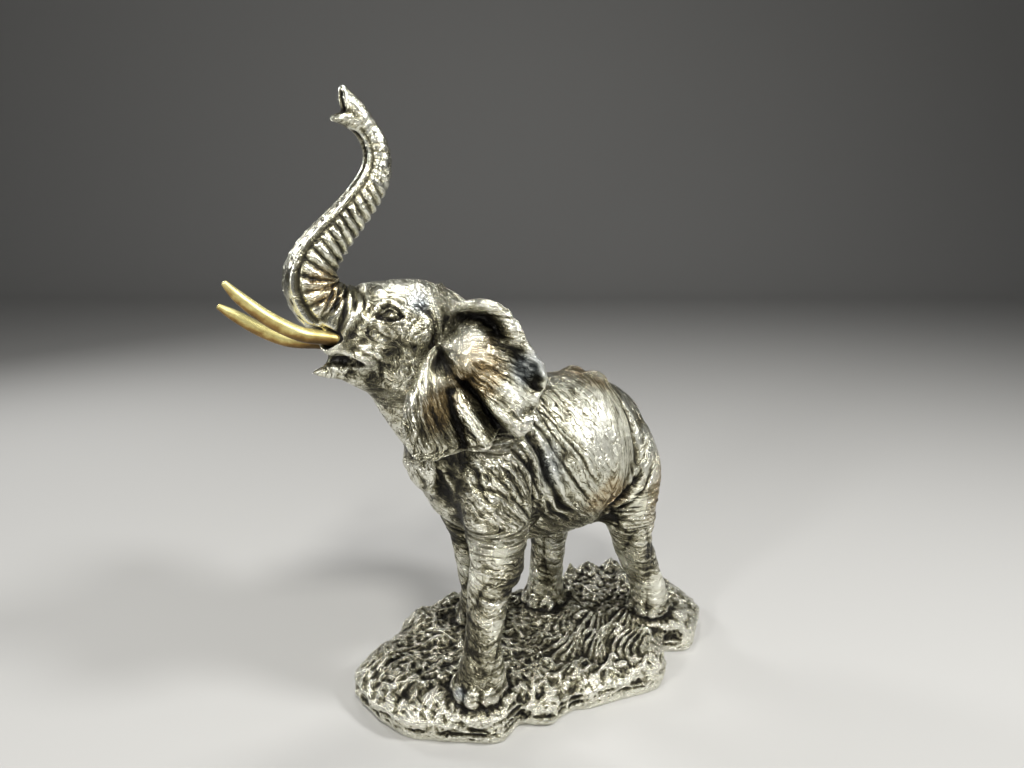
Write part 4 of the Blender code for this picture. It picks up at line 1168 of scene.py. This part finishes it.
def refine(mesh, places, reach, cuts):
    """Divides the faces near some places, so that they can be carved finely."""
    work = bmesh.new()
    work.from_mesh(mesh)
    places = [Vector(placed([on_head(place)])[0]) for place in places]
    for step in range(cuts):
        near = (reach - 0.12 * step) * PART
        inside = {v for v in work.verts if any((v.co - place).length < near for place in places)}
        edges = [e for e in work.edges if e.verts[0] in inside and e.verts[1] in inside]
        bmesh.ops.subdivide_edges(work, edges=edges, cuts=1, use_grid_fill=True)
    work.to_mesh(mesh)
    work.free()


def casting():
    """The elephant and its ground as one fine skin."""
    pieces = [
        fused_body(),
        loft("tail", TAIL),
        head_loft("upper_finger", UPPER_FINGER),
        head_loft("lower_finger", LOWER_FINGER),
        ear("left_ear", 1),
        ear("right_ear", -1),
        ground(),
    ]
    for name, stations in LEGS.items():
        pieces += toes(name, stations[-2], TOES[name.split("_")[1]])
    whole = joined("skin", pieces)
    remesh(whole, SKIN_VOXEL)
    soften(whole, 0.5, 1)
    whole = joined("skin", [whole])
    x, y, z = EYE
    refine(whole.data, [(x, y, z), (x, -y, z)], FINE_REACH, 2)
    refine(whole.data, [TRUNK_END], FINE_REACH, 1)
    carved(whole.data)
    fewer = whole.modifiers.new("fewer_triangles", "DECIMATE")
    corners = sum(len(polygon.vertices) - 2 for polygon in whole.data.polygons)
    fewer.ratio = min(1.0, SKIN_TRIANGLES / corners)
    fewer.use_collapse_triangulate = True
    whole = joined("elephant_and_ground_skin", [whole])
    mesh = whole.data
    points = in_parts(move_skin(mesh, skin_of(mesh)[0]))
    across, along, trunk = flow(points)[:3]
    keep_value(mesh, "hollow", hollowness(mesh))
    # Painted shade where the skin is shut in, for the silver finish
    keep_value(mesh, "shut_in", shut_in(mesh))
    keep_value(mesh, "grain", columns(across, along, 0.0))
    keep_value(mesh, "tint", tints(points))
    # Painted light and shade in patches and on the legs, with random mottles, for the silver finish
    keep_value(mesh, "shade", paint_shade_and_mottles(points))
    brow = bell(from_head(points), (2.6, 0.0, 17.0), (2.2, 1.6, 0.9))
    keep_value(mesh, "calm", 0.6 * trunk + 0.3 * brow)
    mesh.shade_smooth()
    return whole


def tusk(name, rows):
    """A tusk from its root, inside the lip, to its tip."""
    mouth, onward = np.array(rows[0]), np.array(rows[1])
    inward = (mouth - onward) / np.linalg.norm(mouth - onward)
    root = mouth + inward * SOCKET_DEPTH / PART
    radius = TUSK_DIAMETER / 2 / PART
    shares = (0.9, 0.96, 1.0, 0.97, 0.8, 0.42)
    stations = [(*row, radius * s, radius * s) for row, s in zip([tuple(root), *rows], shares)]
    obj = head_loft(name, stations, sides=48, steps=14, cap_rings=8)
    mesh = obj.data
    points = move_skin(mesh, skin_of(mesh)[0])
    base = np.array(placed([on_head(rows[0])])[0])
    tip = np.array(placed([on_head(rows[-1])])[0])
    along = (points - base) @ (tip - base) / np.linalg.norm(tip - base) ** 2
    keep_value(mesh, "along", along)
    mesh.shade_smooth()
    return obj


# Finishes, and how deep their finest relief is, in metres

SILVER_RELIEF = 0.00055
GILT_RELIEF = 0.0002


class Field:
    """A value that varies over a surface; arithmetic on it adds Math nodes to its finish."""

    def __init__(self, finish, socket):
        self.finish = finish
        self.socket = socket

    def _math(self, operation, *values):
        return self.finish.add("ShaderNodeMath", {"operation": operation}, dict(enumerate(values)))

    def __add__(self, other):
        return self._math("ADD", self, other)

    def __sub__(self, other):
        return self._math("SUBTRACT", self, other)

    def __rsub__(self, other):
        return self._math("SUBTRACT", other, self)

    def __mul__(self, other):
        return self._math("MULTIPLY", self, other)

    def __abs__(self):
        return self._math("ABSOLUTE", self)

    __radd__ = __add__
    __rmul__ = __mul__


class Finish:
    """A material under construction, with its shader as .shader."""

    def __init__(self, name):
        self.material = bpy.data.materials.new(name)
        self.material.use_nodes = True
        self.tree = self.material.node_tree
        self.shader = self.tree.nodes["Principled BSDF"]

    def add(self, kind, settings=None, inputs=None, output=0):
        """Adds a node: its settings first, then the values or links of its sockets."""
        node = self.tree.nodes.new(kind)
        for name, value in (settings or {}).items():
            if name == "stops":
                self._stops(node.color_ramp, value)
            else:
                setattr(node, name, value)
        for name, value in (inputs or {}).items():
            self.put(node.inputs[name], value)
        return Field(self, node.outputs[output])

    def _stops(self, ramp, stops):
        while len(ramp.elements) < len(stops):
            ramp.elements.new(0.5)
        for element, (place, colour) in zip(ramp.elements, stops):
            element.position = place
            element.color = (*colour, 1)

    def put(self, socket, value):
        if isinstance(value, Field):
            self.tree.links.new(value.socket, socket)
        else:
            socket.default_value = value

    def value(self, name):
        return self.add("ShaderNodeAttribute", {"attribute_name": name}, output="Fac")

    def vector(self, name):
        return self.add("ShaderNodeAttribute", {"attribute_name": name}, output="Vector")

    def shares(self, vector):
        """The three numbers of a vector."""
        node = self.tree.nodes.new("ShaderNodeSeparateXYZ")
        self.put(node.inputs[0], vector)
        return [Field(self, output) for output in node.outputs]

    def scaled(self, vector, scale):
        return self.add("ShaderNodeVectorMath", {"operation": "MULTIPLY"}, {0: vector, 1: scale})

    def summed(self, vector, other):
        return self.add("ShaderNodeVectorMath", {"operation": "ADD"}, {0: vector, 1: other})

    def grains(self, vector, scale, detail=3.0, roughness=0.55, distortion=0.0):
        """Noise from 0 to 1, at one scale for all three ways or at one for each."""
        if isinstance(scale, tuple):
            vector, scale = self.scaled(vector, scale), 1.0
        return self.add("ShaderNodeTexNoise", {"noise_dimensions": "3D"}, {
            "Vector": vector, "Scale": scale, "Detail": detail, "Roughness": roughness,
            "Distortion": distortion,
        })

    def between(self, value, low, high):
        """0 where the value is low, 1 where it is high, and smooth between."""
        return self.add("ShaderNodeMapRange", {"interpolation_type": "SMOOTHSTEP"}, {
            "Value": value, "From Min": low, "From Max": high,
        })

    def ramp(self, value, stops):
        return self.add("ShaderNodeValToRGB", {"stops": stops}, {"Fac": value})

    def mixed(self, share, first, second):
        """The first colour where the share is 0 and the second where it is 1."""
        return self.add("ShaderNodeMix", {"data_type": "RGBA"}, {0: share, 6: first, 7: second}, 2)

    def done(self, colour, metallic, roughness, height, strength, depth):
        """The material with these looks, and a relief with a strength and a depth in metres."""
        relief = self.add("ShaderNodeBump", None, {
            "Strength": strength, "Distance": depth, "Height": height,
        })
        looks = {"Base Color": colour, "Metallic": metallic, "Roughness": roughness, "Normal": relief}
        for name, value in looks.items():
            self.put(self.shader.inputs[name], value)
        return self.material


def antique_silver():
    """Silver skin, black in the hollows as patina, which in broad hollows is also painted shade, rubbed
    bright on the ridges, warm on ear and belly, with painted shade where the skin is shut in and painted
    light and shade in soft patches.
    """
    finish = Finish("antique_silver")
    place = finish.add("ShaderNodeTexCoord", output="Object")
    hollow = finish.value("hollow")
    painted_occlusion_shade = finish.value("shut_in")
    shade = finish.value("shade")
    lively = 1 - finish.value("calm")
    grain = finish.vector("grain")
    warm, cool, ground_share = finish.shares(finish.vector("tint"))
    hide = 1 - ground_share

    waver = finish.grains(place, 150.0, 2.0)
    waver_vector = finish.scaled(finish.add("ShaderNodeCombineXYZ", None, {0: waver}), (1.0, 0, 0))
    lines = finish.summed(grain, waver_vector)
    wrinkle_noise = finish.grains(lines, (5.0, 0.6, 1.0), 2.0, 0.5)
    wrinkles = finish.between(abs(wrinkle_noise - 0.5), 0.0, 0.055)
    crossing_noise = finish.grains(lines, (1.7, 5.5, 1.0), 2.0, 0.5)
    crossings = finish.between(abs(crossing_noise - 0.5), 0.0, 0.05)
    strokes = finish.grains(lines, (9.5, 1.7, 1.0), 2.0, 0.6)
    hairs = finish.grains(lines, (24.0, 3.5, 1.0), 2.0, 0.6)
    facets = finish.grains(place, 420.0, 2.0, 0.5)
    specks = finish.grains(place, 1000.0, 2.0, 0.6)
    grit = finish.grains(place, 600.0, 3.0, 0.6, 0.6)
    blotches = finish.grains(place, 60.0, 3.0, 0.55)
    crests = 1 - finish.between(abs(grit - 0.5), 0.0, 0.09)

    hide_relief = 0.50 * wrinkles + 0.12 * crossings + 1.05 * strokes + 0.25 * hairs + 0.14 * facets
    ground_relief = 1.2 * grit + 0.5 * crests + 0.4 * specks + 0.6 * strokes
    relief = hide * lively * hide_relief + ground_share * ground_relief
    fine_tone = 0.32 * (wrinkles - 1) + 0.14 * (crossings - 1) + 0.9 * (strokes - 0.5)
    fine_tone = fine_tone + 0.5 * (hairs - 0.5) + 0.35 * (specks - 0.5) + 0.3 * (facets - 0.5)
    rough_tone = 1.5 * (grit - 0.5) + 0.30 * crests + 0.4 * (specks - 0.5) + 0.3 * (strokes - 0.5)
    # Tone: black patina in the hollows (in broad hollows also painted shade), painted shade where the skin
    # is shut in, painted light and shade from the patches, and random blotches
    tone = 0.52 + 0.12 * lively - 0.55 * hollow - 0.8 * painted_occlusion_shade - shade + 0.28 * (blotches - 0.5)
    tone = tone + hide * (0.4 + 0.6 * lively) * fine_tone + ground_share * (rough_tone - 0.12 - 0.2 * hollow)

    silver = finish.ramp(tone, [
        (0.0, (0.006, 0.005, 0.003)),
        (0.24, (0.024, 0.021, 0.011)),
        (0.44, (0.095, 0.086, 0.050)),
        (0.62, (0.29, 0.27, 0.18)),
        (0.80, (0.64, 0.62, 0.48)),
        (1.0, (0.93, 0.92, 0.80)),
    ])
    bronze = finish.ramp(tone, [
        (0.0, (0.006, 0.004, 0.002)),
        (0.30, (0.042, 0.027, 0.009)),
        (0.58, (0.22, 0.150, 0.060)),
        (0.80, (0.52, 0.40, 0.225)),
        (1.0, (0.82, 0.74, 0.54)),
    ])
    steel = finish.ramp(tone, [
        (0.0, (0.005, 0.006, 0.006)),
        (0.30, (0.034, 0.039, 0.043)),
        (0.58, (0.180, 0.210, 0.230)),
        (0.80, (0.48, 0.52, 0.54)),
        (1.0, (0.80, 0.83, 0.84)),
    ])
    warm_share = finish.between(warm + 1.0 * (blotches - 0.5), 0.30, 0.80)
    cool_share = finish.between(cool + 0.7 * (blotches - 0.5), 0.25, 0.85)
    colour = finish.mixed(warm_share * 0.85, silver, bronze)
    colour = finish.mixed(cool_share * 0.8, colour, steel)
    wear_and_shade = finish.between(tone, 0.30, 0.72)
    lit = finish.between(shade, 0.0, -0.2)
    roughness = 0.37 - 0.11 * wear_and_shade + 0.14 * lit
    return finish.done(colour, 0.55 + 0.45 * wear_and_shade, roughness, relief, 1.0, SILVER_RELIEF)


def gilt():
    """Satin gilt, browner on the underside as painted shade and browner towards the root, with faint
    lengthwise brush lines.
    """
    finish = Finish("gilt")
    place = finish.add("ShaderNodeTexCoord", output="Object")
    along = finish.value("along")
    normal = finish.shares(finish.add("ShaderNodeNewGeometry", output="Normal"))
    streaks = finish.grains(place, (60.0, 900.0, 420.0), 3.0, 0.6)
    blotches = finish.grains(place, 160.0, 3.0, 0.6)
    # Painted shade: the gilt is browner where the tusk faces down
    under = finish.between(normal[2], 0.35, -0.75)
    rooty = finish.between(along, 0.35, -0.05)
    # The gilt's painted shade, its browning towards the root and its random blotches and streaks, from pale
    # to brown
    wear_and_shade = 0.70 * under + 0.45 * rooty + 1.2 * (blotches - 0.5) + 0.45 * (streaks - 0.5)
    colour = finish.ramp(wear_and_shade, [
        (0.0, (0.84, 0.77, 0.36)),
        (0.28, (0.60, 0.49, 0.185)),
        (0.58, (0.30, 0.18, 0.055)),
        (1.0, (0.10, 0.06, 0.020)),
    ])
    height = streaks + 0.6 * blotches
    return finish.done(colour, 0.75, 0.36 + 0.14 * blotches, height, 0.35, GILT_RELIEF)


# The studio

CAMERA_PLACE = (-0.202, -0.266, 0.216)
CAMERA_TURN = math.radians(34.7)
CAMERA_DIP = math.radians(13)
CAMERA_LENS = 26.0
LIT_PLACE = Vector((0, 0, 0.12))
# The place, size and watts of each lamp, and its colour
LAMPS = {
    "key": ((-0.32, -0.50, 0.80), 0.14, 5.0, (1.0, 0.985, 0.94)),
    "side": ((0.40, -0.60, 0.72), 0.18, 6.5, (1.0, 1.0, 1.0)),
    "front": ((-0.85, -0.25, 0.45), 0.13, 2.8, (1.0, 1.0, 1.0)),
    "top": ((0.05, 0.10, 1.00), 0.16, 2.6, (1.0, 0.99, 0.96)),
    "rim": ((-0.30, 0.75, 0.55), 0.20, 2.4, (1.0, 1.0, 1.0)),
}


def set_up(data, place, ahead):
    """A camera or a lamp in its place, pointed ahead."""
    obj = bpy.data.objects.new(data.name, data)
    bpy.context.scene.collection.objects.link(obj)
    obj.location = place
    obj.rotation_euler = ahead.to_track_quat("-Z", "Y").to_euler()
    return obj


def camera():
    data = bpy.data.cameras.new("camera")
    data.sensor_width = 36.0
    data.lens = CAMERA_LENS
    data.clip_start = 0.01
    ahead = Vector((
        math.sin(CAMERA_TURN) * math.cos(CAMERA_DIP),
        math.cos(CAMERA_TURN) * math.cos(CAMERA_DIP),
        -math.sin(CAMERA_DIP),
    ))
    bpy.context.scene.camera = set_up(data, CAMERA_PLACE, ahead)


def soft_light(name, place, size, watts, colour):
    data = bpy.data.lights.new(name, "AREA")
    data.shape = "DISK"
    data.size = size
    data.energy = watts
    data.color = colour
    set_up(data, place, LIT_PLACE - Vector(place))


def floor():
    """A pale floor that runs up behind into a pale backdrop."""
    flat, bend, high, wide = 1.6, 0.7, 3.2, 4.5
    profile = [(-flat, 0.0), (flat, 0.0)]
    for k in range(1, 25):
        turn = math.pi / 2 * k / 24
        profile.append((flat + bend * math.sin(turn), bend * (1 - math.cos(turn))))
    profile.append((flat + bend, high))
    back = Vector((math.sin(CAMERA_TURN), math.cos(CAMERA_TURN), 0))
    side = Vector((back.y, -back.x, 0))
    vertices = []
    for away, up in profile:
        for across in (-wide, wide):
            vertices.append(back * away + side * across + Vector((0, 0, up - 0.0002)))
    faces = [(2 * k, 2 * k + 1, 2 * k + 3, 2 * k + 2) for k in range(len(profile) - 1)]
    obj = new_object("floor", vertices, faces)
    obj.data.shade_smooth()
    finish = Finish("pale_floor")
    finish.put(finish.shader.inputs["Base Color"], (0.50, 0.495, 0.48, 1))
    finish.put(finish.shader.inputs["Roughness"], 0.8)
    obj.data.materials.append(finish.material)


def studio():
    world = bpy.data.worlds.new("studio")
    bpy.context.scene.world = world
    world.use_nodes = True
    sky = world.node_tree.nodes["Background"].inputs
    sky["Color"].default_value = (0.60, 0.61, 0.62, 1)
    sky["Strength"].default_value = 0.10
    for name, lamp in LAMPS.items():
        soft_light(name, *lamp)
    bpy.context.scene.view_settings.view_transform = "Standard"
    camera()
    floor()


def main():
    silver, gold = antique_silver(), gilt()
    skin = casting()
    skin.data.materials.append(silver)
    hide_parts("elephant_and_ground")
    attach(skin, "root")
    for name, rows in (("left_tusk", LEFT_TUSK), ("right_tusk", RIGHT_TUSK)):
        piece = tusk(name + "_gilt", rows)
        piece.data.materials.append(gold)
        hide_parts(name)
        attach(piece, "root")
    studio()


main()
